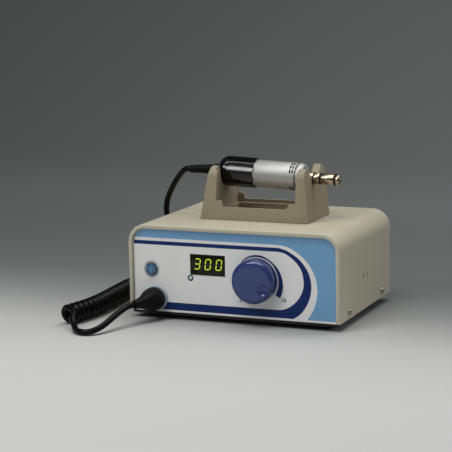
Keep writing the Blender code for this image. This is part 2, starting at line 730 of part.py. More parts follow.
def build_display():
    back = PANEL_STACK + CLEARANCE + WINDOW_FLANGE
    flange = block(WINDOW_WIDTH + 2 * WINDOW_LIP, WINDOW_FLANGE, WINDOW_HEIGHT + 2 * WINDOW_LIP)
    lens = face_towards(flange, (0, -1, 0))
    step_face(flange, lens, WINDOW_LIP, PANEL_STACK + CLEARANCE + WINDOW_PROUD)
    add_piece("display_window", flange, FINISHES["lens"],
              at(WINDOW_X, OVERLAY_FACE + back - WINDOW_FLANGE / 2, WINDOW_Z))
    front = back + CLEARANCE
    depth = BOARD_DEPTH - CLEARANCE - front
    module = block(WINDOW_WIDTH, depth, WINDOW_HEIGHT - DISPLAY_MARGIN, DISPLAY_EDGE)
    add_piece("display_module", module, FINISHES["display"],
              at(WINDOW_X, OVERLAY_FACE + front + depth / 2, WINDOW_Z))
    tail = CLEARANCE - BOARD_DEPTH
    collar = -PANEL_STACK - CLEARANCE
    shoulder = LAMP_PROUD - LAMP_RADIUS
    dome = [(radius, shoulder + rise) for radius, rise in arc((0, 0), LAMP_RADIUS, 0, 1)][::-1]
    profile = dome + [(LAMP_RADIUS, collar), (LAMP_COLLAR_RADIUS, collar),
                      (LAMP_COLLAR_RADIUS, collar - LAMP_COLLAR), (LAMP_RADIUS, collar - LAMP_COLLAR),
                      (LAMP_RADIUS, tail), (0, tail)]
    profile[0] = (0, LAMP_PROUD)
    add_piece("indicator_lamp", turned(profile, SMALL_STEPS), FINISHES["lamp"],
              at(LAMP_X, OVERLAY_FACE, LAMP_Z), FRONT_TURN)


def build_control_board():
    width, height = BOARD_RIGHT - BOARD_LEFT, BOARD_TOP - BOARD_BOTTOM
    middle = (BOARD_LEFT + BOARD_RIGHT) / 2
    level = (BOARD_BOTTOM + BOARD_TOP) / 2
    board = block(width, BOARD_SHEET, height)
    add_piece("control_board", board, FINISHES["board"],
              at(middle, OVERLAY_FACE + BOARD_DEPTH + BOARD_SHEET / 2, level))
    length = BOARD_DEPTH - PANEL_STACK - 2 * CLEARANCE
    for side, x in (("left", BOARD_LEFT + STANDOFF_INSET), ("right", BOARD_RIGHT - STANDOFF_INSET)):
        standoff = rod(STANDOFF_FLATS / math.sqrt(3), 0, length, 6)
        add_piece(f"board_standoff_{side}", standoff, FINISHES["brass"],
                  at(x, OVERLAY_FACE + PANEL_STACK + CLEARANCE, BOARD_TOP - STANDOFF_INSET), REAR_TURN)


def build_power_button():
    bore = BUTTON_RADIUS + CLEARANCE
    barrel = bore + BEZEL_WALL
    lip = barrel + BEZEL_LIP
    foot = -PANEL_STACK - BEZEL_LIP
    bezel = turned([(bore, BEZEL_PROUD), (lip - CLEARANCE, BEZEL_PROUD), (lip, BEZEL_PROUD - CLEARANCE),
                    (lip, FLANGE_GAP), (barrel, FLANGE_GAP), (barrel, foot), (bore, foot)],
                   MIDDLE_STEPS, closed=True)
    place = at(BUTTON_X, OVERLAY_FACE, BUTTON_Z)
    add_piece("button_bezel", bezel, FINISHES["bezel"], place, FRONT_TURN)
    switch_top = CLEARANCE + SWITCH_HEIGHT - BOARD_DEPTH
    shoulder = switch_top + BUTTON_TRAVEL + CLEARANCE
    tip = switch_top - BUTTON_STEM_DIP
    rounding = arc((BUTTON_RADIUS - BUTTON_ROUND, BUTTON_PROUD - BUTTON_ROUND), BUTTON_ROUND, 1, 0, 3)
    profile = [(0, BUTTON_PROUD)] + rounding + [(BUTTON_RADIUS, shoulder), (BUTTON_STEM_RADIUS, shoulder),
                                                (BUTTON_STEM_RADIUS, tip), (0, tip)]
    add_piece("power_button", turned(profile, MIDDLE_STEPS), FINISHES["button"], place, FRONT_TURN)
    switch = block(SWITCH_WIDTH, SWITCH_HEIGHT, SWITCH_WIDTH)
    body = add_piece("button_switch", switch, FINISHES["black_plastic"],
                     at(BUTTON_X, OVERLAY_FACE + BOARD_DEPTH - CLEARANCE - SWITCH_HEIGHT / 2, BUTTON_Z))
    pocket = rod(BUTTON_STEM_RADIUS + CLEARANCE, switch_top - SWITCH_POCKET, switch_top + OVERRUN)
    combine(body, add_cutter("switch_pocket", pocket, place, FRONT_TURN))


def build_speed_knob():
    place = at(KNOB_X, OVERLAY_FACE, KNOB_Z)
    face = OVERLAY_FACE + KNOB_REACH
    bore = SPINDLE_RADIUS + CLEARANCE
    inner = KNOB_RADIUS - KNOB_WALL
    ceiling = face - KNOB_FACE_WALL
    hub = BUSH_REACH + 2 * CLEARANCE
    rounding = arc((KNOB_RADIUS - KNOB_FILLET, face - KNOB_FILLET), KNOB_FILLET, 1, 0)
    profile = [(0, face)] + rounding + [(KNOB_RADIUS, KNOB_GAP), (inner, KNOB_GAP), (inner, ceiling),
                                        (KNOB_HUB_RADIUS, ceiling), (KNOB_HUB_RADIUS, hub), (bore, hub),
                                        (bore, ceiling), (0, ceiling)]
    knob = add_piece("speed_knob", turned(profile, LARGE_STEPS), FINISHES["knob"], place, FRONT_TURN)
    ball = (DIMPLE_RADIUS ** 2 + DIMPLE_DEPTH ** 2) / (2 * DIMPLE_DEPTH)
    bm = bmesh.new()
    bmesh.ops.create_uvsphere(bm, u_segments=LARGE_STEPS, v_segments=MIDDLE_STEPS, radius=ball)
    spot = (DIMPLE_OFFSET * math.cos(DIMPLE_ANGLE), DIMPLE_OFFSET * math.sin(DIMPLE_ANGLE),
            face + ball - DIMPLE_DEPTH)
    dimple = add_cutter("knob_dimple", bm, spot, parent=knob)
    combine(knob, dimple)
    pot_back = -PANEL_STACK - CLEARANCE - POT_DEPTH
    spindle_foot = pot_back + KNOB_FACE_WALL
    add_piece("knob_spindle", rod(SPINDLE_RADIUS, spindle_foot, ceiling - CLEARANCE, MIDDLE_STEPS),
              FINISHES["aluminium"], place, FRONT_TURN)
    pot_front = -PANEL_STACK - CLEARANCE
    floor = spindle_foot - CLEARANCE
    pot = turned([(bore, BUSH_REACH), (BUSH_RADIUS, BUSH_REACH), (BUSH_RADIUS, pot_front),
                  (POT_RADIUS, pot_front), (POT_RADIUS, pot_back), (0, pot_back), (0, floor),
                  (bore, floor)], MIDDLE_STEPS, closed=True)
    add_piece("potentiometer", pot, FINISHES["steel"], place, FRONT_TURN)
    nut = hex_ring(POT_NUT_FLATS, BUSH_RADIUS + CLEARANCE, POT_NUT_HEIGHT)
    add_piece("pot_nut", nut, FINISHES["nickel"],
              at(KNOB_X, OVERLAY_FACE - FLANGE_GAP, KNOB_Z), FRONT_TURN)


def build_motor_jack():
    place = at(JACK_X, OVERLAY_FACE, JACK_Z)
    face = FLANGE_GAP + JACK_FLANGE
    chamfer = JACK_FLANGE_CHAMFER
    profile = [(JACK_BORE_RADIUS, face), (JACK_FLANGE_RADIUS - chamfer, face),
               (JACK_FLANGE_RADIUS, face - chamfer), (JACK_FLANGE_RADIUS, FLANGE_GAP),
               (JACK_BARREL_RADIUS, FLANGE_GAP), (JACK_BARREL_RADIUS, -JACK_DEPTH), (0, -JACK_DEPTH),
               (0, JACK_FLOOR - JACK_DEPTH), (JACK_BORE_RADIUS, JACK_FLOOR - JACK_DEPTH)]
    add_piece("motor_jack", turned(profile, MIDDLE_STEPS, closed=True), FINISHES["jack"], place, FRONT_TURN)
    nut = hex_ring(JACK_NUT_FLATS, JACK_BARREL_RADIUS + CLEARANCE, JACK_NUT_HEIGHT)
    add_piece("jack_nut", nut, FINISHES["nickel"],
              at(JACK_X, OVERLAY_FACE + PANEL_STACK + CLEARANCE, JACK_Z), REAR_TURN)
    radius = JACK_BORE_RADIUS - CLEARANCE
    shell = rod(radius, JACK_FLOOR + CLEARANCE - JACK_DEPTH, SHELL_REACH, MIDDLE_STEPS)
    add_piece("plug_shell", shell, FINISHES["nickel"], place, FRONT_TURN)


def boot_frame(share):
    """Middle of the boot and its direction at a share of the way from the jack to its tip."""
    start = at(JACK_X, OVERLAY_FACE - FLANGE_GAP - JACK_FLANGE - CLEARANCE, JACK_Z)
    run = at(BOOT_TIP_X, BOOT_TIP_Y, BOOT_TIP_Z) - start
    middle = start + Vector((run.x * share ** 2, run.y * share, run.z * share ** 2))
    heading = Vector((2 * run.x * share, run.y, 2 * run.z * share)).normalized()
    return middle, heading


def build_plug_boot():
    rings = []
    for number in range(BOOT_RINGS + 1):
        share = number / BOOT_RINGS
        middle, heading = boot_frame(share)
        side = heading.cross(Vector((0, 0, 1))).normalized()
        up = side.cross(heading)
        spot = share * (len(BOOT_SHARES) - 1)
        low = min(int(spot), len(BOOT_SHARES) - 2)
        radius = BOOT_RADIUS * (BOOT_SHARES[low] + (BOOT_SHARES[low + 1] - BOOT_SHARES[low]) * (spot - low))
        ring = []
        for step in range(BOOT_STEPS):
            angle = FULL_TURN * step / BOOT_STEPS
            ring.append(middle + radius * (math.cos(angle) * side + math.sin(angle) * up))
        rings.append(ring)
    boot = add_piece("plug_boot", lofted(rings), FINISHES["rubber"])
    pocket = rod(JACK_BORE_RADIUS, -OVERRUN, SHELL_REACH + CLEARANCE, MIDDLE_STEPS)
    combine(boot, add_cutter("boot_pocket", pocket, at(JACK_X, OVERLAY_FACE, JACK_Z), FRONT_TURN))


def build_rear_panel():
    top = COVER_HEIGHT - COVER_SHEET - CLEARANCE
    width = COVER_WIDTH - 2 * (COVER_SHEET + CLEARANCE)
    plate = prism(arch(width, -PANEL_DROP, top, COVER_BEND - COVER_SHEET - CLEARANCE), PANEL_SHEET)
    panel = add_piece("rear_panel", plate, FINISHES["rear_panel"], at(0, REAR_FACE - PANEL_SHEET, 0))
    deep = PANEL_SHEET + OVERRUN
    openings = [
        ("inlet", INLET_X, INLET_WIDTH - 2 * INLET_MARGIN, INLET_HEIGHT - 2 * INLET_MARGIN),
        ("rocker", ROCKER_X, ROCKER_WINDOW_WIDTH + 2 * ROCKER_BODY_WALL,
         ROCKER_WINDOW_HEIGHT + 2 * ROCKER_BODY_WALL),
    ]
    for name, x, wide, high in openings:
        hole = block(wide + 2 * CLEARANCE, 2 * deep, high + 2 * CLEARANCE)
        combine(panel, add_cutter(f"{name}_opening", hole, at(x, REAR_FACE, SWITCH_ROW_LEVEL)))
    for name, x, level, radius in (("fuse", FUSE_X, SWITCH_ROW_LEVEL, FUSE_BODY_RADIUS),
                                   ("pedal", PEDAL_X, PEDAL_LEVEL, PEDAL_BARREL_RADIUS)):
        bore = rod(radius + CLEARANCE, -deep, deep, MIDDLE_STEPS)
        combine(panel, add_cutter(f"{name}_opening", bore, at(x, REAR_FACE, level), REAR_TURN))
    for number in range(VENT_COUNT):
        slot = block(VENT_WIDTH, 2 * deep, VENT_HEIGHT)
        x = VENT_FIRST + number * VENT_PITCH
        combine(panel, add_cutter(f"vent_{number + 1}", slot, at(x, REAR_FACE, VENT_LEVEL)))


def build_mains_inlet():
    inlet = block(INLET_WIDTH, INLET_FLANGE, INLET_HEIGHT)
    step_face(inlet, face_towards(inlet, (0, -1, 0)), INLET_MARGIN, INLET_BODY_DEPTH)
    step_face(inlet, face_towards(inlet, (0, 1, 0)), INLET_MARGIN + INLET_WALL, -INLET_SOCKET_DEPTH)
    middle = REAR_FACE + CLEARANCE + INLET_FLANGE / 2
    piece = add_piece("mains_inlet", inlet, FINISHES["black_plastic"], at(INLET_X, middle, SWITCH_ROW_LEVEL))
    floor = middle + INLET_FLANGE / 2 - INLET_SOCKET_DEPTH
    root = (INLET_BODY_DEPTH + INLET_FLANGE - INLET_SOCKET_DEPTH) / 2
    for number in range(3):
        pin = block(INLET_PIN_WIDTH, INLET_PIN_LENGTH + root, INLET_PIN_HEIGHT)
        x = INLET_X + (number - 1) * INLET_PIN_SPREAD
        rise = INLET_PIN_RISE if number == 1 else 0
        place = at(x, floor + (INLET_PIN_LENGTH - root) / 2, SWITCH_ROW_LEVEL + rise - INLET_PIN_RISE / 2)
        combine(piece, add_cutter(f"inlet_pin_{number + 1}", pin, place), "UNION")


def build_power_rocker():
    width = ROCKER_WINDOW_WIDTH + 2 * ROCKER_RIM
    height = ROCKER_WINDOW_HEIGHT + 2 * ROCKER_RIM
    frame = block(width, ROCKER_FLANGE, height)
    rear = face_towards(frame, (0, -1, 0))
    step_face(frame, rear, ROCKER_RIM - ROCKER_BODY_WALL, ROCKER_BODY_DEPTH)
    step_face(frame, face_towards(frame, (0, 1, 0)), ROCKER_RIM, -ROCKER_POCKET)
    middle = REAR_FACE + CLEARANCE + ROCKER_FLANGE / 2
    add_piece("rocker_frame", frame, FINISHES["black_plastic"], at(ROCKER_X, middle, SWITCH_ROW_LEVEL))
    half = ROCKER_HALF_LENGTH
    shoulder = ROCKER_CREST + half * math.tan(ROCKER_TILT)
    skirt = half * ROCKER_SKIRT_SHARE
    outline = [(-shoulder, half), (-ROCKER_CREST, 0), (-shoulder, -half), (0, -half),
               (ROCKER_SKIRT, -skirt), (ROCKER_SKIRT, skirt), (0, half)]
    wide = ROCKER_WINDOW_WIDTH - 2 * CLEARANCE
    rocker = prism(outline, wide)
    bmesh.ops.translate(rocker, verts=rocker.verts[:], vec=(0, -wide / 2, 0))
    bmesh.ops.rotate(rocker, verts=rocker.verts[:], matrix=Matrix.Rotation(-QUARTER_TURN, 3, "Z"))
    add_piece("power_rocker", rocker, FINISHES["rocker"], at(ROCKER_X, middle, SWITCH_ROW_LEVEL),
              (-ROCKER_TILT, 0, 0))


def build_rear_sockets():
    chamfer = FUSE_CAP_CHAMFER
    tip = COVER_DEPTH + FUSE_REACH - REAR_FACE
    flange = CLEARANCE + FUSE_CAP_FLANGE
    fuse = turned([(0, tip), (FUSE_CAP_RADIUS - chamfer, tip), (FUSE_CAP_RADIUS, tip - chamfer),
                   (FUSE_CAP_RADIUS, flange), (FUSE_CAP_FLANGE_RADIUS, flange),
                   (FUSE_CAP_FLANGE_RADIUS, CLEARANCE), (FUSE_BODY_RADIUS, CLEARANCE),
                   (FUSE_BODY_RADIUS, -FUSE_BODY_DEPTH), (0, -FUSE_BODY_DEPTH)], MIDDLE_STEPS)
    add_piece("fuse_holder", fuse, FINISHES["black_plastic"],
              at(FUSE_X, REAR_FACE, SWITCH_ROW_LEVEL), REAR_TURN)
    face = CLEARANCE + PEDAL_REACH
    rim = CLEARANCE + PEDAL_FLANGE
    socket = turned([(PEDAL_BORE_RADIUS, face), (PEDAL_BARREL_RADIUS, face), (PEDAL_BARREL_RADIUS, rim),
                     (PEDAL_FLANGE_RADIUS, rim), (PEDAL_FLANGE_RADIUS, CLEARANCE),
                     (PEDAL_BARREL_RADIUS, CLEARANCE), (PEDAL_BARREL_RADIUS, -PEDAL_BODY_DEPTH),
                     (0, -PEDAL_BODY_DEPTH), (0, face - PEDAL_SOCKET),
                     (PEDAL_BORE_RADIUS, face - PEDAL_SOCKET)], MIDDLE_STEPS, closed=True)
    add_piece("pedal_jack", socket, FINISHES["nickel"], at(PEDAL_X, REAR_FACE, PEDAL_LEVEL), REAR_TURN)


def build_transformer():
    floor = TRAY_SHEET - TRAY_DROP + CLEARANCE
    level = floor + CORE_HEIGHT / 2
    core = add_piece("transformer_core", block(CORE_WIDTH, CORE_STACK, CORE_HEIGHT), FINISHES["steel"],
                     at(CORE_X, CORE_Y, level))
    leg = 2 * CORE_LEG
    window = (CORE_WIDTH - leg - 2 * CORE_LEG) / 2
    tall = CORE_HEIGHT - 2 * CORE_LEG
    for side in (-1, 1):
        opening = block(window, CORE_STACK + OVERRUN, tall)
        x = CORE_X + side * (leg + window) / 2
        name = "core_window_left" if side < 0 else "core_window_right"
        combine(core, add_cutter(name, opening, at(x, CORE_Y, level)))
    wide = leg + 2 * CLEARANCE
    deep = CORE_STACK + 2 * CLEARANCE
    build = 2 * WINDING_BUILD
    winding = add_piece("transformer_winding", block(wide + build, deep + build, tall - 2 * CLEARANCE),
                        FINISHES["winding"], at(CORE_X, CORE_Y, level))
    combine(winding, add_cutter("winding_bore", block(wide, deep, tall), at(CORE_X, CORE_Y, level)))


def build_power_board():
    level = TRAY_SHEET - TRAY_DROP + STUD_HEIGHT + CLEARANCE
    width, depth = POWER_BOARD_RIGHT - POWER_BOARD_LEFT, POWER_BOARD_BACK - POWER_BOARD_FRONT
    middle_x = (POWER_BOARD_LEFT + POWER_BOARD_RIGHT) / 2
    middle_y = (POWER_BOARD_FRONT + POWER_BOARD_BACK) / 2
    add_piece("power_board", block(width, depth, BOARD_SHEET), FINISHES["board"],
              at(middle_x, middle_y, level + BOARD_SHEET / 2))
    top = level + BOARD_SHEET + CLEARANCE
    waist = CAPACITOR_RADIUS - CAPACITOR_NECK
    neck = CAPACITOR_NECK_LEVEL
    can = turned([(0, CAPACITOR_HEIGHT), (waist, CAPACITOR_HEIGHT),
                  (CAPACITOR_RADIUS, CAPACITOR_HEIGHT - CAPACITOR_NECK), (CAPACITOR_RADIUS, neck),
                  (waist, neck - CAPACITOR_NECK), (CAPACITOR_RADIUS, neck - 2 * CAPACITOR_NECK),
                  (CAPACITOR_RADIUS, CAPACITOR_NECK), (waist, 0), (0, 0)], MIDDLE_STEPS)
    add_piece("smoothing_capacitor", can, FINISHES["capacitor"], at(CAPACITOR_X, CAPACITOR_Y, top))
    outline = [(0, 0), (SINK_WIDTH, 0)]
    pitch = (SINK_WIDTH - SINK_FIN) / (SINK_FINS - 1)
    for number in reversed(range(SINK_FINS)):
        left = number * pitch
        outline += [(left + SINK_FIN, SINK_DEPTH), (left, SINK_DEPTH)]
        if number:
            outline += [(left, SINK_BACK), (left - pitch + SINK_FIN, SINK_BACK)]
    sink = prism(outline, SINK_HEIGHT)
    bmesh.ops.translate(sink, verts=sink.verts[:], vec=(-SINK_WIDTH / 2, -SINK_HEIGHT, -SINK_DEPTH / 2))
    add_piece("heat_sink", sink, FINISHES["heat_sink"], at(SINK_X, SINK_Y, top), REAR_TURN)


def cradle_side_outline():
    """The cradle seen from the front, from its left foot clockwise, above its lower edge."""
    left_top = CRADLE_LEFT + LEFT_LEAN
    right_top = CRADLE_RIGHT - RIGHT_LEAN
    left_shoulder = LEFT_WALL_INNER + SHOULDER_LENGTH
    right_shoulder = RIGHT_WALL_INNER - SHOULDER_LENGTH
    return [
        (CRADLE_LEFT, 0), (left_top, CRADLE_HEIGHT), (left_top + LEFT_WALL_TOP, CRADLE_HEIGHT),
        (LEFT_WALL_INNER, SHOULDER_HEIGHT), (left_shoulder, SHOULDER_HEIGHT),
        (left_shoulder + SHOULDER_SLANT, RAIL_HEIGHT), (right_shoulder - SHOULDER_SLANT, RAIL_HEIGHT),
        (right_shoulder, SHOULDER_HEIGHT), (RIGHT_WALL_INNER, SHOULDER_HEIGHT),
        (right_top - RIGHT_WALL_TOP, CRADLE_HEIGHT), (right_top, CRADLE_HEIGHT), (CRADLE_RIGHT, 0),
    ]


def cradle_end_outline():
    """The cradle seen from its end, drafted, with round upper corners, about its middle."""
    foot = CRADLE_DEPTH / 2
    spread = foot - CRADLE_DRAFT - CRADLE_ROUND
    level = CRADLE_HEIGHT - CRADLE_ROUND
    outline = [(-foot, -OVERRUN), (foot, -OVERRUN), (foot, 0)]
    outline += arc((spread, level), CRADLE_ROUND, 0, 1)
    outline += arc((-spread, level), CRADLE_ROUND, 1, 2)
    outline.append((-foot, 0))
    return outline


def along_x(outline, length):
    """A prism whose outline is seen along X: its (y, z) points stay y and z."""
    bm = prism([(-y, z) for y, z in outline], length)
    bmesh.ops.rotate(bm, verts=bm.verts[:], matrix=Matrix.Rotation(-QUARTER_TURN, 3, "Z"))
    return bm


def build_cradle():
    length = CRADLE_RIGHT - CRADLE_LEFT
    body = prism(cradle_side_outline(), CRADLE_DEPTH + 2 * OVERRUN)
    cradle = add_piece("cradle", body, FINISHES["cradle"], at(0, CRADLE_FRONT - OVERRUN, CRADLE_Z))
    ends = along_x(cradle_end_outline(), length + 2 * OVERRUN)
    combine(cradle, add_cutter("cradle_ends", ends, at(CRADLE_LEFT - OVERRUN, CRADLE_Y, CRADLE_Z)), "INTERSECT")
    gap = RIGHT_WALL_INNER - LEFT_WALL_INNER
    inside = CRADLE_DEPTH - 2 * RAIL_SHEET
    tray = prism([(LEFT_WALL_INNER, TRAY_FLOOR), (RIGHT_WALL_INNER, TRAY_FLOOR),
                  (RIGHT_WALL_INNER + INNER_DRAFT, CRADLE_HEIGHT + OVERRUN),
                  (LEFT_WALL_INNER - INNER_DRAFT, CRADLE_HEIGHT + OVERRUN)], inside)
    combine(cradle, add_cutter("cradle_tray", tray, at(0, CRADLE_FRONT + RAIL_SHEET, CRADLE_Z)))
    hollow = block(gap, inside, 2 * TRAY_UNDERSIDE)
    middle = (RIGHT_WALL_INNER + LEFT_WALL_INNER) / 2
    combine(cradle, add_cutter("cradle_underside", hollow, at(middle, CRADLE_Y, CRADLE_Z)))
    for name, x in cradle_screw_places():
        bore = rod(CRADLE_SCREW_RADIUS + CLEARANCE, -OVERRUN, CRADLE_SCREW_LENGTH)
        combine(cradle, add_cutter(f"{name}_bore", bore, at(x, CRADLE_Y, CRADLE_Z)))
    cut_cradle_notches(cradle)
    edge = cradle.modifiers.new("edges", "BEVEL")
    edge.width = CRADLE_EDGE
    edge.segments = 1
    edge.limit_method = "ANGLE"
    edge.angle_limit = SMOOTH_ANGLE


def axis_level(x):
    """Height of the motor's axis over the cover's lower edge at a place along x."""
    return MOTOR_LEVEL - x * math.tan(MOTOR_TILT)


def cut_cradle_notches(cradle):
    """A V for the spigot on the right, a wide U for the sleeve's dome on the left, and a channel."""
    top = CRADLE_Z + CRADLE_HEIGHT + OVERRUN
    right = CRADLE_RIGHT - RIGHT_LEAN - RIGHT_WALL_TOP / 2
    apex = axis_level(right) - (SPIGOT_RADIUS + CLEARANCE) * math.sqrt(2)
    rise = top - apex
    wall = CRADLE_RIGHT - RIGHT_WALL_INNER
    vee = along_x([(0, 0), (rise, rise), (-rise, rise)], wall + 2 * OVERRUN)
    combine(cradle, add_cutter("right_notch", vee, at(RIGHT_WALL_INNER - OVERRUN, MOTOR_Y, apex)))
    middle = axis_level(LEFT_WALL_INNER)
    radius = SLEEVE_RADIUS + CLEARANCE
    reach = top - middle
    outline = arc((0, 0), radius, 2, 4, 2 * BEND_STEPS)
    outline += [(radius + LEFT_NOTCH_FLARE, reach), (-radius - LEFT_NOTCH_FLARE, reach)]
    wall = LEFT_WALL_INNER - CRADLE_LEFT
    bowl = along_x(outline, wall + 2 * OVERRUN)
    combine(cradle, add_cutter("left_notch", bowl, at(CRADLE_LEFT - OVERRUN, MOTOR_Y, middle)))
    lean = RIGHT_LEAN / CRADLE_HEIGHT
    face = CRADLE_RIGHT - lean * (apex - CRADLE_Z)
    tilt = math.atan(lean + CHANNEL_DEPTH / CHANNEL_FADE)
    channel = rod(CHANNEL_RADIUS, -CRADLE_HEIGHT, CRADLE_HEIGHT, LARGE_STEPS)
    place = at(face - CHANNEL_DEPTH + CHANNEL_RADIUS, MOTOR_Y, apex)
    combine(cradle, add_cutter("right_channel", channel, place, (0, -tilt, 0)))


def motor_axis():
    """An empty on the motor's axis: its Z runs forward along the motor, its X points down."""
    return link("motor_axis", None, at(0, MOTOR_Y, MOTOR_LEVEL), (0, QUARTER_TURN + MOTOR_TILT, 0), None)


def circle(radius, level, steps, shift=0.0):
    ring = []
    for step in range(steps):
        angle = FULL_TURN * step / steps
        ring.append((shift + radius * math.cos(angle), radius * math.sin(angle), level))
    return ring


def build_strain_relief(axis):
    """A ribbed rubber sleeve that droops a little towards the cord."""
    stations = []
    length = RELIEF_COLLAR_START - RELIEF_START
    pitch = length / RELIEF_RIBS
    for number in range(2 * RELIEF_RIBS + 1):
        level = RELIEF_START + number * pitch / 2
        share = number / (2 * RELIEF_RIBS)
        radius = RELIEF_TIP_RADIUS + (RELIEF_ROOT_RADIUS - RELIEF_TIP_RADIUS) * share
        droop = RELIEF_DROOP * (1 - share) ** 2
        stations.append((radius - (number % 2) * RELIEF_RIB_DEPTH, level, droop))
    for radius, level in ((RELIEF_COLLAR_RADIUS, RELIEF_COLLAR_START + CLEARANCE),
                          (RELIEF_COLLAR_RADIUS, RELIEF_END), (RELIEF_PLUG_RADIUS, RELIEF_END),
                          (RELIEF_PLUG_RADIUS, RELIEF_PLUG_END)):
        stations.append((radius, level, 0))
    rings = [circle(radius, level, SMALL_STEPS, droop) for radius, level, droop in stations]
    add_piece("motor_strain_relief", lofted(rings), FINISHES["rubber"], parent=axis)


def build_motor_sleeve(axis):
    """Fluted sleeve with a domed rear end and a scalloped front edge."""
    def ring(radius, level, flute=0.0, scallop=0.0):
        points = []
        for step in range(SLEEVE_STEPS):
            angle = FULL_TURN * step / SLEEVE_STEPS
            dip = (1 - math.cos(SLEEVE_FLUTES * angle)) / 2
            reach = radius - flute * dip
            points.append((reach * math.cos(angle), reach * math.sin(angle), level - scallop * dip))
        return points

    rings = []
    length = SLEEVE_DOME_END - SLEEVE_START
    for step in range(BEND_STEPS):
        angle = QUARTER_TURN * step / BEND_STEPS
        radius = SLEEVE_NECK_RADIUS + (SLEEVE_RADIUS - SLEEVE_NECK_RADIUS) * math.sin(angle)
        rings.append(ring(radius, SLEEVE_START + length * (1 - math.cos(angle))))
    chamber = BODY_TAIL_RADIUS + CLEARANCE
    counterbore = BODY_RADIUS + CLEARANCE
    neck = RELIEF_PLUG_RADIUS + CLEARANCE
    shoulder = SLEEVE_DOME_END + length / 2
    rings += [
        ring(SLEEVE_RADIUS, SLEEVE_DOME_END, SLEEVE_FLUTE / 2), ring(SLEEVE_RADIUS, shoulder, SLEEVE_FLUTE),
        ring(SLEEVE_RADIUS, SLEEVE_END - CLEARANCE, SLEEVE_FLUTE, SLEEVE_SCALLOP),
        ring(SLEEVE_RADIUS - CLEARANCE, SLEEVE_END, SLEEVE_FLUTE, SLEEVE_SCALLOP),
        ring(counterbore, SLEEVE_END, 0, SLEEVE_SCALLOP), ring(counterbore, SLEEVE_STEP),
        ring(chamber, SLEEVE_STEP), ring(chamber, SLEEVE_CHAMBER),
        ring(neck, SLEEVE_CHAMBER), ring(neck, SLEEVE_START),
    ]
    add_piece("motor_sleeve", lofted(rings, ring_closed=True), FINISHES["sleeve"], parent=axis)


def build_motor_shells(axis):
    tail_end = SLEEVE_STEP + CLEARANCE
    start = SLEEVE_CHAMBER + CLEARANCE
    body = turned([(BODY_TAIL_RADIUS, start), (BODY_TAIL_RADIUS, tail_end), (BODY_RADIUS, tail_end),
                   (BODY_RADIUS, BODY_END - BODY_CHAMFER), (BODY_RADIUS - BODY_CHAMFER, BODY_END),
                   (BODY_BORE_RADIUS, BODY_END), (BODY_BORE_RADIUS, start)], LARGE_STEPS, closed=True)
    add_piece("motor_body", body, FINISHES["aluminium"], parent=axis)
    spigot = BODY_BORE_RADIUS - CLEARANCE
    groove = NOSE_RADIUS - NOSE_GROOVE
    pocket = FRONT_BEARING_RADIUS + CLEARANCE
    rear = BODY_END - NOSE_SPIGOT
    bearing_back = FRONT_BEARING_END + CLEARANCE
    passage = SPIGOT_BORE_RADIUS + CLEARANCE
    nose = turned([(pocket, rear), (spigot, rear), (spigot, BODY_END + CLEARANCE),
                   (groove, BODY_END + CLEARANCE), (groove, NOSE_START), (NOSE_RADIUS, NOSE_START),
                   (NOSE_RADIUS, NOSE_START + NOSE_STRAIGHT), (NOSE_TIP_RADIUS, NOSE_END - NOSE_EDGE),
                   (NOSE_TIP_RADIUS - NOSE_EDGE, NOSE_END), (SPIGOT_TAIL_RADIUS + CLEARANCE, NOSE_END),
                   (SPIGOT_TAIL_RADIUS + CLEARANCE, SPIGOT_START - CLEARANCE),
                   (passage, SPIGOT_START - CLEARANCE), (passage, bearing_back), (pocket, bearing_back)],
                  LARGE_STEPS, closed=True)
    add_piece("motor_nose", nose, FINISHES["aluminium"], parent=axis)


def build_coupling_nozzle(axis):
    """The spigot that a handpiece slips onto, with its grooves, two rings and the socket in its end."""
    profile = [(SPIGOT_BORE_RADIUS, SPIGOT_START), (SPIGOT_TAIL_RADIUS, SPIGOT_START),
               (SPIGOT_TAIL_RADIUS, SPIGOT_SEAT), (SPIGOT_RADIUS, SPIGOT_SEAT)]
    for middle, width, before, after in (
            (SNAP_GROOVE, SNAP_GROOVE_WIDTH, SPIGOT_RADIUS, SPIGOT_BAND_RADIUS),
            (RING_GROOVE_REAR, RING_GROOVE_WIDTH, SPIGOT_BAND_RADIUS, SPIGOT_WAIST_RADIUS),
            (RING_GROOVE_FRONT, RING_GROOVE_WIDTH, SPIGOT_WAIST_RADIUS, SPIGOT_RADIUS)):
        near, far = middle - width / 2, middle + width / 2
        profile += [(before, near), (SPIGOT_GROOVE_RADIUS, near), (SPIGOT_GROOVE_RADIUS, far), (after, far)]
    for step in range(TIP_STEPS + 1):
        turn = QUARTER_TURN * step / TIP_STEPS
        profile.append((SPIGOT_BAND_RADIUS - SPIGOT_TIP_ROUND * (1 - math.cos(turn)),
                        SPIGOT_END - SPIGOT_TIP_ROUND * (1 - math.sin(turn))))
    floor = SPIGOT_END - SOCKET_DEPTH
    profile += [(SOCKET_RADIUS, SPIGOT_END), (SOCKET_RADIUS, floor), (SPIGOT_BORE_RADIUS, floor)]
    add_piece("coupling_nozzle", turned(profile, MIDDLE_STEPS, closed=True), FINISHES["steel"], parent=axis)
    inner = SPIGOT_GROOVE_RADIUS + CLEARANCE
    outer = SPIGOT_BAND_RADIUS + RING_PROUD
    half = RING_GROOVE_WIDTH / 2 - CLEARANCE
    round_off = half / 2
    for side, middle in (("rear", RING_GROOVE_REAR), ("front", RING_GROOVE_FRONT)):
        ring = turned([(inner, middle - half), (outer - round_off, middle - half), (outer, middle - round_off),
                       (outer, middle + round_off), (outer - round_off, middle + half),
                       (inner, middle + half)], MIDDLE_STEPS, closed=True)
        add_piece(f"nozzle_ring_{side}", ring, FINISHES["rubber"], parent=axis)


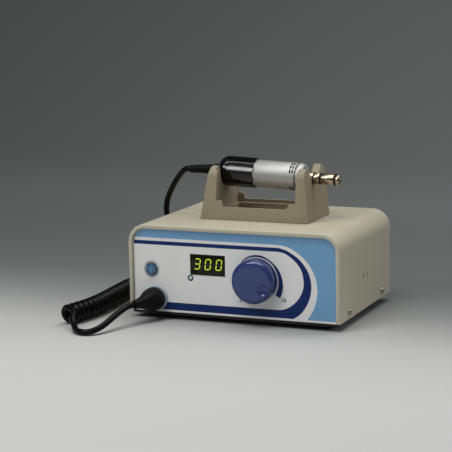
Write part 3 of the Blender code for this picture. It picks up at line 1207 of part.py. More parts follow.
def build_motor_insides(axis):
    bore = SHAFT_RADIUS + CLEARANCE
    seat = BODY_BORE_RADIUS - CLEARANCE
    for name, outer, start, end in (
            ("rear_bearing", REAR_BEARING_RADIUS, REAR_BEARING_START, REAR_BEARING_END),
            ("front_bearing", FRONT_BEARING_RADIUS, FRONT_BEARING_END - BEARING_DEPTH, FRONT_BEARING_END)):
        ring = turned([(bore, start), (outer, start), (outer, end), (bore, end)], SMALL_STEPS, closed=True)
        add_piece(name, ring, FINISHES["steel"], parent=axis)
    inner = ARMATURE_RADIUS + CLEARANCE
    magnet = turned([(inner, MAGNET_START), (seat, MAGNET_START), (seat, MAGNET_END), (inner, MAGNET_END)],
                    MIDDLE_STEPS, closed=True)
    add_piece("stator_magnet", magnet, FINISHES["magnet"], parent=axis)
    pocket = REAR_BEARING_RADIUS + CLEARANCE
    floor = REAR_BEARING_START - CLEARANCE
    carrier = turned([(CARRIER_WIRE_RADIUS, CARRIER_START), (seat, CARRIER_START), (seat, CARRIER_END),
                      (pocket, CARRIER_END), (pocket, floor), (CARRIER_WIRE_RADIUS, floor)],
                     MIDDLE_STEPS, closed=True)
    add_piece("brush_carrier", carrier, FINISHES["black_plastic"], parent=axis)


def build_rotor(axis):
    """What turns: the shaft, the slotted armature on it and the dog that drives the handpiece."""
    seat = SPIGOT_END - DOG_SEAT
    add_piece("rotor_shaft", rod(SHAFT_RADIUS, SHAFT_START, seat), FINISHES["steel"], parent=axis)
    bore = SHAFT_RADIUS + CLEARANCE
    rings = []
    for radius, level in ((bore, ARMATURE_START), (ARMATURE_RADIUS, ARMATURE_START),
                          (ARMATURE_RADIUS, ARMATURE_END), (bore, ARMATURE_END)):
        ring = []
        steps = 4 * ARMATURE_SLOTS
        for step in range(steps):
            angle = FULL_TURN * step / steps
            slotted = radius > bore and step % 4 == 0
            reach = radius * ARMATURE_SLOT_SHARE if slotted else radius
            ring.append((reach * math.cos(angle), reach * math.sin(angle), level))
        rings.append(ring)
    add_piece("rotor_core", lofted(rings, ring_closed=True), FINISHES["winding"], parent=axis)
    chamfer = DOG_SLOT / 2
    root = seat + CLEARANCE
    tip = SPIGOT_END + DOG_PROUD
    dog = turned([(0, root), (DOG_RADIUS, root), (DOG_RADIUS, tip - chamfer),
                  (DOG_RADIUS - chamfer, tip), (0, tip)], SMALL_STEPS)
    piece = add_piece("drive_dog", dog, FINISHES["steel"], parent=axis)
    slot = block(DOG_SLOT, 2 * DOG_RADIUS + OVERRUN, 2 * DOG_SLOT_DEPTH)
    combine(piece, add_cutter("dog_slot", slot, (0, 0, tip), parent=axis))


def smooth_route(points):
    """Read points at even steps from the smooth curve through a route's own points."""
    anchors = [2 * points[0] - points[1]] + list(points) + [2 * points[-1] - points[-2]]
    fine = []
    for before, start, end, after in zip(anchors, anchors[1:], anchors[2:], anchors[3:]):
        for step in range(LARGE_STEPS):
            t = step / LARGE_STEPS
            fine.append((2 * start + (end - before) * t
                         + (2 * before - 5 * start + 4 * end - after) * t ** 2
                         + (3 * start - before - 3 * end + after) * t ** 3) / 2)
    fine.append(points[-1])
    return fine


def walk(fine, spacing):
    """Thin a dense line of points to even steps of about the spacing, both ends kept."""
    lengths = [0.0]
    for near, far in zip(fine, fine[1:]):
        lengths.append(lengths[-1] + (far - near).length)
    count = max(2, round(lengths[-1] / spacing))
    picked = []
    index = 0
    for step in range(count + 1):
        goal = lengths[-1] * step / count
        while index < len(fine) - 2 and lengths[index + 1] < goal:
            index += 1
        part = (goal - lengths[index]) / (lengths[index + 1] - lengths[index])
        picked.append(fine[index].lerp(fine[index + 1], part))
    return picked, lengths[-1]


def curl_points():
    """The curly part as one helix round its bent axis, its ends led out straight along it."""
    level = CURL_RADIUS + CORD_DIAMETER / 2 + CURL_REST_GAP - FLOOR_LIFT
    fine = smooth_route([at(x, y, level) for x, y in CURL_AXIS])
    axis, length = walk(fine, WELD + CURL_RADIUS / LARGE_STEPS)
    lead = CURL_LEAD_ANGLE
    total = CURL_TURNS * FULL_TURN
    front_extra = (CURL_FRONT_LEAD_SHARE - 1) / 3
    rear_extra = (CURL_REAR_LEAD_SHARE - 1) / 3
    rate = length / (total + lead * (front_extra + rear_extra))

    def travelled(angle, extra):
        left_over = lead - angle
        return rate * (angle + extra * (lead ** 3 - left_over ** 3) / lead ** 2)

    points = []
    count = round(CURL_TURNS * CURL_POINTS)
    for number in range(count + 1):
        angle = total * number / count
        if angle < lead:
            distance = travelled(angle, front_extra)
        elif angle > total - lead:
            distance = length - travelled(total - angle, rear_extra)
        else:
            distance = rate * (angle + lead * front_extra)
        spot = min(distance / length * (len(axis) - 1), len(axis) - 2)
        near, far = axis[int(spot)], axis[int(spot) + 1]
        side = (far - near).cross(Vector((0, 0, 1))).normalized()
        turn = CURL_START_ANGLE + angle
        reach = CURL_RADIUS * (math.cos(turn) * side + math.sin(turn) * Vector((0, 0, 1)))
        points.append(near.lerp(far, spot - int(spot)) + reach)
    start = (points[0] - points[1]).normalized()
    end = (points[-1] - points[-2]).normalized()
    return [points[0] + start * CORD_DIAMETER] + points + [points[-1] + end * CORD_DIAMETER]


def least_gap(points):
    """Least distance between the tube's own turns, measured from points to stretches."""
    least = math.inf
    for index, point in enumerate(points):
        for near, far in zip(points[index + CURL_POINTS // 2:], points[index + CURL_POINTS // 2 + 1:]):
            run = far - near
            share = max(0.0, min(1.0, (point - near).dot(run) / run.length_squared))
            least = min(least, (near + run * share - point).length)
    return least - CORD_DIAMETER


def add_tube(name, points, resolution):
    curve = bpy.data.curves.new(name, "CURVE")
    curve.dimensions = "3D"
    curve.bevel_depth = CORD_DIAMETER / 2
    curve.bevel_resolution = resolution
    curve.use_fill_caps = True
    spline = curve.splines.new("POLY")
    spline.points.add(len(points) - 1)
    for spot, point in zip(spline.points, points):
        spot.co = (*point, 1)
    curve.materials.append(FINISHES["cord"])
    return link(name, curve, (0, 0, 0), (0, 0, 0), None)


def add_stretch(name, start, heading, route, end, end_heading):
    """A loose stretch between two ends that it meets squarely, a clearance away from each."""
    first = start + heading * CLEARANCE
    last = end + end_heading * CLEARANCE
    points = [first, first + heading * CORD_DIAMETER] + [at(*point) for point in route]
    points += [last + end_heading * CORD_DIAMETER, last]
    picked, length = walk(smooth_route(points), CORD_SPACING)
    line = [first, first + heading * CORD_DIAMETER] + picked[1:-1]
    line += [last + end_heading * CORD_DIAMETER, last]
    add_tube(name, line, 2)
    return length


def build_cord():
    curls = curl_points()
    add_tube("cord_coil", curls, 1)
    gap = least_gap(curls[1:-1])
    tip, heading = boot_frame(1)
    near = (curls[0] - curls[1]).normalized()
    far = (curls[-1] - curls[-2]).normalized()
    front = add_stretch("cord_front", tip, heading, FRONT_ROUTE[::-1], curls[0], near)
    forward = Vector((math.cos(MOTOR_TILT), 0, -math.sin(MOTOR_TILT)))
    down = Vector((-math.sin(MOTOR_TILT), 0, -math.cos(MOTOR_TILT)))
    slope = 2 * RELIEF_DROOP / (RELIEF_COLLAR_START - RELIEF_START)
    relief = at(0, MOTOR_Y, MOTOR_LEVEL) + forward * RELIEF_START + down * RELIEF_DROOP
    out = (down * slope - forward).normalized()
    tail = add_stretch("cord_tail", curls[-1], far, TAIL_ROUTE, relief, out)
    coiled = sum((b - a).length for a, b in zip(curls, curls[1:]))
    print(f"least gap between curls {gap * 1000:.2f} mm")
    print(f"cord lengths in mm: front {front * 1000:.0f}, coil {coiled * 1000:.0f}, tail {tail * 1000:.0f}")


def make_finishes():
    return {
        "cutter": finish("cutter", (0.8, 0.2, 0.2), 0.5),
        "cover": finish("beige_enamel", (0.68, 0.64, 0.50), 0.35),
        "tray": finish("black_painted_steel", (0.02, 0.02, 0.02), 0.5),
        "rubber": finish("black_rubber", (0.015, 0.015, 0.016), 0.6),
        "nickel": finish("nickel_plated_steel", (0.60, 0.58, 0.54), 0.3, 1.0),
        "panel": finish("white_panel", (0.80, 0.80, 0.80), 0.4),
        "overlay": finish("printed_film", (0.82, 0.84, 0.86), 0.35),
        "rear_panel": finish("painted_rear_panel", (0.66, 0.62, 0.50), 0.45),
        "lens": finish("smoked_lens", (0.01, 0.01, 0.01), 0.1),
        "display": finish("display_body", (0.05, 0.05, 0.05), 0.5),
        "lamp": finish("lamp_lens", (0.85, 0.87, 0.85), 0.2),
        "board": finish("green_board", (0.02, 0.16, 0.06), 0.5),
        "brass": finish("brass", (0.70, 0.50, 0.20), 0.35, 1.0),
        "bezel": finish("dark_bezel", (0.02, 0.03, 0.06), 0.4),
        "button": finish("blue_button", (0.03, 0.20, 0.36), 0.3),
        "black_plastic": finish("black_plastic", (0.02, 0.02, 0.02), 0.45),
        "knob": finish("blue_plastic", (0.06, 0.09, 0.38), 0.3),
        "aluminium": finish("satin_aluminium", (0.75, 0.75, 0.76), 0.35, 1.0),
        "steel": finish("turned_steel", (0.55, 0.52, 0.50), 0.25, 1.0),
        "jack": finish("grey_jack", (0.35, 0.40, 0.48), 0.35),
        "rocker": finish("rocker_plastic", (0.03, 0.03, 0.03), 0.35),
        "winding": finish("copper_winding", (0.50, 0.22, 0.10), 0.4, 1.0),
        "capacitor": finish("capacitor_sleeve", (0.02, 0.04, 0.12), 0.4),
        "heat_sink": finish("black_anodised", (0.03, 0.03, 0.03), 0.4, 1.0),
        "cradle": finish("taupe_plastic", (0.42, 0.38, 0.29), 0.5),
        "sleeve": finish("polished_black_sleeve", (0.012, 0.012, 0.013), 0.2),
        "magnet": finish("ferrite", (0.06, 0.06, 0.06), 0.5),
        "cord": finish("cord_jacket", (0.01, 0.01, 0.01), 0.35),
    }


clear_scene()
FINISHES = make_finishes()
build_cover()
build_base_tray()
build_feet()
build_screws()
build_front_panel()
build_display()
build_control_board()
build_power_button()
build_speed_knob()
build_motor_jack()
build_plug_boot()
build_rear_panel()
build_mains_inlet()
build_power_rocker()
build_rear_sockets()
build_transformer()
build_power_board()
build_cradle()
MOTOR_AXIS = motor_axis()
build_strain_relief(MOTOR_AXIS)
build_motor_sleeve(MOTOR_AXIS)
build_motor_shells(MOTOR_AXIS)
build_coupling_nozzle(MOTOR_AXIS)
build_motor_insides(MOTOR_AXIS)
build_rotor(MOTOR_AXIS)
build_cord()
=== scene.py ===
"""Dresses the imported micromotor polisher: enamel, printed panel, knob, display, motor and curly cord."""

import math

import bpy
from mathutils import Matrix, Vector


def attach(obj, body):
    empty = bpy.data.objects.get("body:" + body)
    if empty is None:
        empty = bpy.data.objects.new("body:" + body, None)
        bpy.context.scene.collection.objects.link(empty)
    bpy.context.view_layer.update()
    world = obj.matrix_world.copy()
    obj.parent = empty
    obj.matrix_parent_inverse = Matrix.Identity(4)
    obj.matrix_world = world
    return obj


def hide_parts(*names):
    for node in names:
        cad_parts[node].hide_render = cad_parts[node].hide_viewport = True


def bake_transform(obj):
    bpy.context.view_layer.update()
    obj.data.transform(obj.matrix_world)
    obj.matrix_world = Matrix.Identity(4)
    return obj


bl_info = {
    "name": "Micromotor polisher",
    "version": (1, 0, 0),
    "blender": (4, 5, 0),
    "location": "3D View > Sidebar > Polisher",
    "description": "Builds the visible pieces and finishes of a bench micromotor polisher",
    "category": "Object",
}

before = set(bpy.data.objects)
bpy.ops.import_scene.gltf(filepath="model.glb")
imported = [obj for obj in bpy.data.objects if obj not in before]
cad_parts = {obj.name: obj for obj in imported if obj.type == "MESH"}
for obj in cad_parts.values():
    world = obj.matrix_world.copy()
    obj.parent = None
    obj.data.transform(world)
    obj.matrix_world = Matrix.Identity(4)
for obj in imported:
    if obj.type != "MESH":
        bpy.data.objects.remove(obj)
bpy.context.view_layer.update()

# Millimetres of the unit: x from its middle, y from the cover's front rim, z from its lower edge
MM = 0.001
FRONT = -66.25
LIFT = 6.5
FULL = 2 * math.pi
WELD = 0.000002
UNIT = "control_unit"
TO_RIGHT, TO_FRONT = Vector((1, 0, 0)), Vector((0, -1, 0))
TO_BACK, TO_TOP = Vector((0, 1, 0)), Vector((0, 0, 1))
STRAIGHT = (Vector((0, 0, 0)), TO_RIGHT, TO_TOP)

# Steps round a turned piece, by its size
SMALL, MEDIUM, FINE, LARGE = 24, 40, 72, 96

# Places and sizes that the model's source states too
WIDE, DEEP, HIGH, BEND, HEM, SHEET = 182.0, 132.5, 71.3, 15.0, 3.3, 1.5
FILM_FACE = 2.6
REAR_FACE = 129.5
KNOB = (20.7, 31.1)
BUTTON = (-71.5, 34.6)
LAMP = (-36.9, 29.1)
JACK = (-68.0, 10.8)
WINDOW = (-21.8, 40.3)
FUSE = (0, 34)
PEDAL = (-62, 20)
SCREW_ENDS = {"front": 22.8, "rear": 108.7}
SCREW_LEVEL = 5.8
CRADLE_Y = 65.4
CRADLE_Z = 71.6
MOTOR_LEVEL = 107.2
MOTOR_TILT = math.radians(2.55)


def at(x, y, z):
    """A place in the unit's millimetres as one in the model's frame."""
    return Vector((x, FRONT + y, LIFT + z)) * MM


def out_of_film(place):
    """A line towards the front, from a place on the film's face."""
    return at(place[0], FILM_FACE, place[1]), TO_FRONT, TO_TOP


def out_of_rear(place):
    """A line towards the back, from a place on the rear panel's face."""
    return at(place[0], REAR_FACE, place[1]), TO_BACK, TO_TOP


MOTOR_LINE = (at(0, CRADLE_Y, MOTOR_LEVEL),
              Vector((math.cos(MOTOR_TILT), 0, -math.sin(MOTOR_TILT))),
              Vector((math.sin(MOTOR_TILT), 0, math.cos(MOTOR_TILT))))


def linear(code):
    """An sRGB hex colour as linear red, green and blue."""
    parts = [int(code[i:i + 2], 16) / 255 for i in (1, 3, 5)]
    return tuple(c / 12.92 if c <= 0.04045 else ((c + 0.055) / 1.055) ** 2.4 for c in parts)


class PolisherSizes(bpy.types.PropertyGroup):
    """Sizes that give the pieces their look."""
    hem_round: bpy.props.FloatProperty(
        name="Hem rounding", description="Radius of the cover's front and rear rims",
        default=0.9 * MM, min=0, max=1.5 * MM, unit="LENGTH", subtype="DISTANCE")
    seam_width: bpy.props.FloatProperty(
        name="Seam width", description="Width of the fine seam across the cover's top",
        default=0.6 * MM, min=0.1 * MM, max=1 * MM, unit="LENGTH", subtype="DISTANCE")
    cradle_edge: bpy.props.FloatProperty(
        name="Cradle edge", description="Rounding of the cradle's moulded edges",
        default=0.8 * MM, min=0.2 * MM, max=1.5 * MM, unit="LENGTH", subtype="DISTANCE")
    print_build: bpy.props.FloatProperty(
        name="Print build", description="Thickness of each printed layer on the film",
        default=0.03 * MM, min=0.01 * MM, max=0.1 * MM, unit="LENGTH", subtype="DISTANCE")
    cord_width: bpy.props.FloatProperty(
        name="Cord diameter", description="Outside diameter of the curly cord",
        default=5 * MM, min=4 * MM, max=5.4 * MM, unit="LENGTH", subtype="DISTANCE")
    flutes: bpy.props.IntProperty(
        name="Sleeve flats", description="Number of shallow flats round the motor's sleeve",
        default=8, min=4, max=12)


class PolisherColours(bpy.types.PropertyGroup):
    """Colours that a user would change."""
    enamel: bpy.props.FloatVectorProperty(
        name="Enamel", description="Cover and rear panel", subtype="COLOR", size=3,
        min=0, max=1, default=linear("#C5BFA9"))
    sky: bpy.props.FloatVectorProperty(
        name="Light blue", description="Light field of the printed panel", subtype="COLOR", size=3,
        min=0, max=1, default=linear("#74A6CF"))
    navy: bpy.props.FloatVectorProperty(
        name="Navy", description="Stripe and dial scale of the printed panel", subtype="COLOR", size=3,
        min=0, max=1, default=linear("#082A66"))
    knob: bpy.props.FloatVectorProperty(
        name="Knob", description="Moulded speed knob", subtype="COLOR", size=3,
        min=0, max=1, default=linear("#293A72"))
    cradle: bpy.props.FloatVectorProperty(
        name="Cradle", description="Moulded cradle", subtype="COLOR", size=3,
        min=0, max=1, default=linear("#9A9079"))
    digits: bpy.props.FloatVectorProperty(
        name="Digits", description="Lit segments of the display", subtype="COLOR", size=3,
        min=0, max=1, default=linear("#D0E03E"))


def sizes():
    return bpy.context.scene.polisher_sizes


def colours():
    return bpy.context.scene.polisher_colours


# Shaping, as by hand in edit mode

def deselect():
    if bpy.context.mode != "OBJECT":
        bpy.ops.object.mode_set(mode="OBJECT")
    bpy.ops.object.select_all(action="DESELECT")


def focus(piece, mode="OBJECT"):
    """Make one piece the only one selected, in a mode."""
    deselect()
    bpy.context.view_layer.objects.active = piece
    piece.select_set(True)
    if mode != "OBJECT":
        bpy.ops.object.mode_set(mode=mode)


def discard(piece):
    focus(piece)
    bpy.ops.object.delete()


def fix_place():
    """Move the place, turn and size of what is selected into its mesh."""
    bpy.ops.object.transform_apply(location=True, rotation=True, scale=True)


def settle(name):
    """Name the primitive just added and fix its place."""
    piece = bpy.context.object
    piece.name = name
    piece.data.name = name
    fix_place()
    return piece


def modify(piece, kind, **settings):
    """Give a piece one modifier with its settings, and apply it."""
    focus(piece)
    modifier = piece.modifiers.new(kind.lower(), kind)
    for key, value in settings.items():
        setattr(modifier, key, value)
    bpy.ops.object.modifier_apply(modifier=modifier.name)


def extrude(way):
    bpy.ops.mesh.extrude_region_move(TRANSFORM_OT_translate={"value": way})


def add_box(name, low, high):
    """A block between two corners, in the unit's millimetres."""
    deselect()
    near, far = at(*low), at(*high)
    bpy.ops.mesh.primitive_cube_add(size=1, location=(near + far) / 2, scale=far - near)
    return settle(name)


def pick(piece, kind, test):
    """Select in edit mode the corners, edges or faces whose middle passes a test."""
    focus(piece, "EDIT")
    bpy.ops.mesh.select_mode(type=kind)
    bpy.ops.mesh.select_all(action="DESELECT")
    bpy.ops.object.mode_set(mode="OBJECT")
    mesh = piece.data
    if kind == "VERT":
        for corner in mesh.vertices:
            corner.select = test(corner.co)
    elif kind == "EDGE":
        for edge in mesh.edges:
            first, second = (mesh.vertices[i].co for i in edge.vertices)
            edge.select = test((first + second) / 2, (second - first).normalized())
    else:
        for face in mesh.polygons:
            face.select = test(face.center, face.normal)
    bpy.ops.object.mode_set(mode="EDIT")


def draw(name, points):
    """Draw a line: one corner, extruded on to each next place."""
    deselect()
    bpy.ops.mesh.primitive_plane_add(size=MM, location=points[0])
    piece = settle(name)
    bpy.ops.object.mode_set(mode="EDIT")
    bpy.ops.mesh.select_mode(type="VERT")
    bpy.ops.mesh.select_all(action="SELECT")
    bpy.ops.mesh.merge(type="CENTER")
    for near, far in zip(points, points[1:]):
        extrude(far - near)
    bpy.ops.mesh.select_all(action="SELECT")
    return piece


def close_up(piece):
    """Merge what meets in a piece and turn all its faces outwards."""
    focus(piece, "EDIT")
    bpy.ops.mesh.select_all(action="SELECT")
    bpy.ops.mesh.remove_doubles(threshold=WELD)
    bpy.ops.mesh.normals_make_consistent(inside=False)
    bpy.ops.object.mode_set(mode="OBJECT")
    return piece


def turned(name, line, profile, steps=FINE, ring=False):
    """Draw a profile of (reach, radius) in millimetres beside a line and spin it round."""
    start, along, out = line
    points = [start + along * reach * MM + out * radius * MM for reach, radius in profile]
    if ring:
        points.append(points[0])
    piece = draw(name, points)
    bpy.ops.mesh.spin(steps=steps, angle=FULL, center=start, axis=along)
    return close_up(piece)


def rod(name, line, start, end, radius, steps=FINE):
    """A plain round bar along a line."""
    return turned(name, line, [(start, 0), (start, radius), (end, radius), (end, 0)], steps)


def prism(name, outline, span, place):
    """Fill an outline and extrude it; place turns an outline's point and a reach into a place."""
    piece = draw(name, [place(u, v, 0) for u, v in outline])
    bpy.ops.mesh.edge_face_add()
    way = place(*outline[0], span) - place(*outline[0], 0)
    bpy.ops.mesh.select_all(action="SELECT")
    extrude(way)
    return close_up(piece)


def facing_front(y):
    """Outlines seen from the front: (x, z), and a reach backwards from y."""
    return lambda u, v, reach: at(u, y + reach, v)


def facing_end(x, y, z):
    """Outlines seen from the end: (y, z) from a place, and a reach to the right."""
    return lambda u, v, reach: at(x + reach, y + u, z + v)


def arc(centre, radius, start, end, steps):
    """Points on an arc, both ends included; angles in degrees."""
    points = []
    for step in range(steps + 1):
        angle = math.radians(start + (end - start) * step / steps)
        points.append((centre[0] + radius * math.cos(angle), centre[1] + radius * math.sin(angle)))
    return points


def arch(width, bottom, top, corner, steps=12):
    """A plate with square lower corners and round upper ones."""
    side = width / 2
    return ([(-side, bottom), (side, bottom)]
            + arc((side - corner, top - corner), corner, 0, 90, steps)
            + arc((corner - side, top - corner), corner, 90, 180, steps))


def combine(piece, tool, operation="DIFFERENCE"):
    """Cut a piece with a tool, or keep what they share; the tool is used up."""
    modify(piece, "BOOLEAN", operation=operation, solver="EXACT", object=tool)
    discard(tool)


def soften(piece, width, segments=2, angle=32):
    """Round all edges sharper than an angle by a width in millimetres."""
    modify(piece, "BEVEL", width=width * MM, segments=segments, limit_method="ANGLE",
           angle_limit=math.radians(angle))


def dress(piece, finish, body=UNIT, stands_for=(), smooth=30):
    """Give a finished piece its shading, finish, body and the nodes that it stands for."""
    focus(piece)
    bpy.ops.object.shade_smooth_by_angle(angle=math.radians(smooth))
    piece.data.materials.clear()
    piece.data.materials.append(FINISHES[finish])
    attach(piece, body)
    if stands_for:
        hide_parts(*stands_for)


def thread(points):
    """A curve of straight steps through places."""
    deselect()
    bpy.ops.curve.primitive_nurbs_path_add()
    curve = bpy.context.object
    curve.data.splines.clear()
    spline = curve.data.splines.new("POLY")
    spline.points.add(len(points) - 1)
    for spot, point in zip(spline.points, points):
        spot.co = (*point, 1)
    return curve


def bend_along(piece, points):
    """Lay a piece that was modelled along +X from the origin on a curve through places."""
    guide = thread(points)
    modify(piece, "CURVE", object=guide, deform_axis="POS_X")
    discard(guide)
    close_up(piece)


# Finishes

FINISHES = {}

# Noise lies mostly between these values, so tones and roughness are spread between them
TONE_LOW, TONE_HIGH = 0.32, 0.68
NOISE_LOW, NOISE_HIGH = 0.3, 0.7
# Radians that a band texture runs through in one unit at a scale of 1
BAND_RATE = 20


def add_node(tree, kind, values=None, links=None, **settings):
    """Add one node with its options, socket values and what feeds it."""
    node = tree.nodes.new("ShaderNode" + kind)
    for key, value in settings.items():
        setattr(node, key, value)
    for socket, value in (values or {}).items():
        node.inputs[socket].default_value = value
    for socket, source in (links or {}).items():
        tree.links.new(source, node.inputs[socket])
    return node


def per(size):
    """Scale of a pattern whose features are a size apart, in millimetres."""
    return 1 / (size * MM)


def surface(name, colour, shade, patch, rough, spread, grain=0.5, height=0.01, stretch=(1, 1, 1),
            turn=(0, 0, 0), **sockets):
    """A finish: two tones in patches, a roughness that wanders, and a grain that is felt.

    A tone is a linear colour or a hex one. Patch, spread and grain are sizes in millimetres,
    and so is the grain's height.
    """
    light, dark = (linear(tone) if isinstance(tone, str) else tone for tone in (colour, shade))
    material = bpy.data.materials.new(name)
    material.use_nodes = True
    tree = material.node_tree
    shader = tree.nodes["Principled BSDF"]
    for socket, value in sockets.items():
        shader.inputs[socket.replace("_", " ")].default_value = value
    place = add_node(tree, "TexCoord")
    mapping = add_node(tree, "Mapping", {"Scale": stretch, "Rotation": turn},
                       {"Vector": place.outputs["Object"]})
    grid = {"Vector": mapping.outputs["Vector"]}
    tones = add_node(tree, "TexNoise", {"Scale": per(patch), "Detail": 3.0, "Roughness": 0.6}, grid)
    ramp = add_node(tree, "ValToRGB", None, {"Fac": tones.outputs["Fac"]})
    for stop, position, tone in zip(ramp.color_ramp.elements, (TONE_LOW, TONE_HIGH), (dark, light)):
        stop.position = position
        stop.color = (*tone, 1)
    tree.links.new(ramp.outputs["Color"], shader.inputs["Base Color"])
    wander = add_node(tree, "TexNoise", {"Scale": per(spread), "Detail": 4.0}, grid)
    span = add_node(tree, "MapRange", {"From Min": NOISE_LOW, "From Max": NOISE_HIGH, "To Min": rough[0],
                                       "To Max": rough[1]}, {"Value": wander.outputs["Fac"]})
    tree.links.new(span.outputs["Result"], shader.inputs["Roughness"])
    feel = add_node(tree, "TexNoise", {"Scale": per(grain), "Detail": 2.0}, grid)
    bump = add_node(tree, "Bump", {"Strength": 1.0, "Distance": height * MM}, {"Height": feel.outputs["Fac"]})
    tree.links.new(bump.outputs["Normal"], shader.inputs["Normal"])
    FINISHES[name] = material
    return tree, shader, place


def stripes(finish, pitch, direction, low, high):
    """Fine parallel bands over a finish's colour, a pitch in millimetres apart."""
    tree, shader, place = finish
    bands = add_node(tree, "TexWave", {"Scale": FULL / BAND_RATE * per(pitch), "Distortion": 0.4},
                     {"Vector": place.outputs["Object"]}, bands_direction=direction)
    ramp = add_node(tree, "ValToRGB", None, {"Fac": bands.outputs["Color"]})
    for stop, tone in zip(ramp.color_ramp.elements, (low, high)):
        stop.color = (*linear(tone), 1)
    tree.links.new(ramp.outputs["Color"], shader.inputs["Base Color"])


def darker(colour, share):
    return tuple(c * share for c in colour)


def make_finishes():
    ink = colours()
    # Stoved beige enamel on steel: satin, with a faint orange peel that breaks up the highlights
    surface("stoved_beige_enamel", ink.enamel, darker(ink.enamel, 0.965), 60, (0.30, 0.38), 25,
            grain=1.1, height=0.012, Coat_Weight=0.15, Coat_Roughness=0.25)
    # Matte black paint on the steel tray: dull, slightly dusty
    surface("matte_black_paint", "#141414", "#1B1A19", 12, (0.5, 0.62), 9, grain=0.4, height=0.01)
    # White screen-printed polyester film: satin, very even, slightly warm
    surface("white_printed_film", "#EEEEEC", "#E7E7E6", 30, (0.34, 0.42), 8, grain=0.25, height=0.002)
    # Light blue screen ink: flat tone with a hint of mesh marks
    surface("light_blue_screen_ink", ink.sky, darker(ink.sky, 0.95), 9, (0.34, 0.44), 5, grain=0.2, height=0.002)
    # Navy screen ink: dense and even, nearly as satin as the film
    surface("navy_screen_ink", ink.navy, darker(ink.navy, 0.88), 7, (0.36, 0.46), 4, grain=0.2, height=0.002,
            Specular_IOR_Level=0.25)
    # White powder-coated panel behind the film: the soft pebble of the powder
    surface("white_coated_panel", "#E2E2E0", "#D8D8D6", 20, (0.4, 0.5), 10, grain=0.6, height=0.01)
    # Smoked acrylic window: nearly black, polished, so that only its gloss shows
    surface("smoked_acrylic", "#191806", "#1F1E09", 10, (0.06, 0.10), 8, grain=2.0, height=0.001,
            Specular_IOR_Level=0.2)
    # Unlit display segments: dull olive glimpsed through the acrylic
    surface("unlit_segment", "#23260F", "#1D200D", 2, (0.3, 0.4), 2, grain=0.3, height=0.001)
    # Lit display segments: a yellow-green glow, brightest in patches where the chip sits
    tree, shader, place = surface("lit_segment", ink.digits, darker(ink.digits, 0.8), 1.5, (0.3, 0.4), 2,
                                  grain=0.3, height=0.001, Emission_Strength=0.5)
    glow = add_node(tree, "TexNoise", {"Scale": per(1.6), "Detail": 1.0}, {"Vector": place.outputs["Object"]})
    tint = add_node(tree, "ValToRGB", None, {"Fac": glow.outputs["Fac"]})
    tint.color_ramp.elements[0].color = (*darker(ink.digits, 0.75), 1)
    tint.color_ramp.elements[1].color = (*ink.digits, 1)
    tree.links.new(tint.outputs["Color"], shader.inputs["Emission Color"])
    # Clear moulded lamp lens over a white reflector: pale, with a wet gloss
    surface("clear_lamp_lens", "#E9EEE8", "#CFD6D0", 1.5, (0.1, 0.16), 1, grain=0.5, height=0.004,
            Coat_Weight=0.6, Coat_Roughness=0.05)
    # Translucent moulded button cap: two blues swirled over a lighter core
    surface("teal_button_plastic", "#5A8FB4", "#1C3858", 2.0, (0.2, 0.3), 2, grain=0.6, height=0.006,
            Coat_Weight=0.3, Coat_Roughness=0.15)
    # Blue ABS knob: moulded glossy, with a soft wander in its polish
    surface("glossy_blue_abs", ink.knob, darker(ink.knob, 0.96), 20, (0.16, 0.22), 9, grain=3.0, height=0.001,
            Coat_Weight=0.3, Coat_Roughness=0.06)
    # Dark moulded plastic of the rear fittings and switch bodies: half matte, even
    surface("dark_moulded_plastic", "#16181F", "#101218", 6, (0.36, 0.46), 4, grain=0.35, height=0.006)
    # Button bezel: dark moulding with a blue cast, which keeps the cap from ending in black
    surface("blue_black_moulding", "#1C2738", "#141C2A", 3, (0.3, 0.4), 2, grain=0.35, height=0.004)
    # Blue-grey jack ring: glossy moulding with a broad soft highlight
    surface("blue_grey_moulding", "#AEB8C4", "#A3AEBB", 5, (0.25, 0.34), 4, grain=0.5, height=0.004)
    # Black vinyl boot: matte, with a dry bloom on it
    surface("matte_black_vinyl", "#0D0D0E", "#080808", 5, (0.42, 0.55), 3, grain=0.35, height=0.02,
            Specular_IOR_Level=0.15)
    # Black polyurethane cord jacket: tight-skinned and shiny, which gives each curl its glint
    surface("shiny_cord_jacket", "#060606", "#0A0A0A", 6, (0.24, 0.34), 3, grain=0.7, height=0.02,
            Specular_IOR_Level=0.13)
    # Taupe ABS cradle: spark-eroded matte grain
    surface("taupe_grained_abs", ink.cradle, darker(ink.cradle, 0.93), 18, (0.52, 0.62), 6, grain=0.55, height=0.02)
    # Polished black acetal sleeve: piano gloss with the faintest wave
    surface("polished_black_acetal", "#050506", "#070708", 9, (0.10, 0.16), 5, grain=3.0, height=0.002,
            Specular_IOR_Level=0.4)
    tilt = (0, MOTOR_TILT, 0)
    # Satin anodised aluminium, turned: fine rings along the barrel spread its highlight
    surface("satin_turned_aluminium", "#BDBCBA", "#B4B4B3", 6, (0.54, 0.60), 2.5, grain=0.45, height=0.002,
            stretch=(8, 0.6, 0.6), turn=tilt, Metallic=1.0)
    # Nickel-plated spigot: bright, warm, with fine turning rings
    surface("bright_nickel_spigot", "#BCA994", "#B19D88", 4, (0.20, 0.26), 3, grain=0.4, height=0.0008,
            stretch=(9, 0.8, 0.8), turn=tilt, Metallic=1.0)
    # Nickel-plated screws and nuts: bright, a little worn
    surface("nickel_plated_steel", "#BDB8AE", "#A7A196", 3, (0.2, 0.34), 1.5, grain=0.4, height=0.004, Metallic=1.0)
    # Ground bearing steel: cool and fairly sharp
    surface("ground_steel", "#A9A8A6", "#908F8E", 3, (0.2, 0.32), 1, grain=0.3, height=0.003, Metallic=1.0)
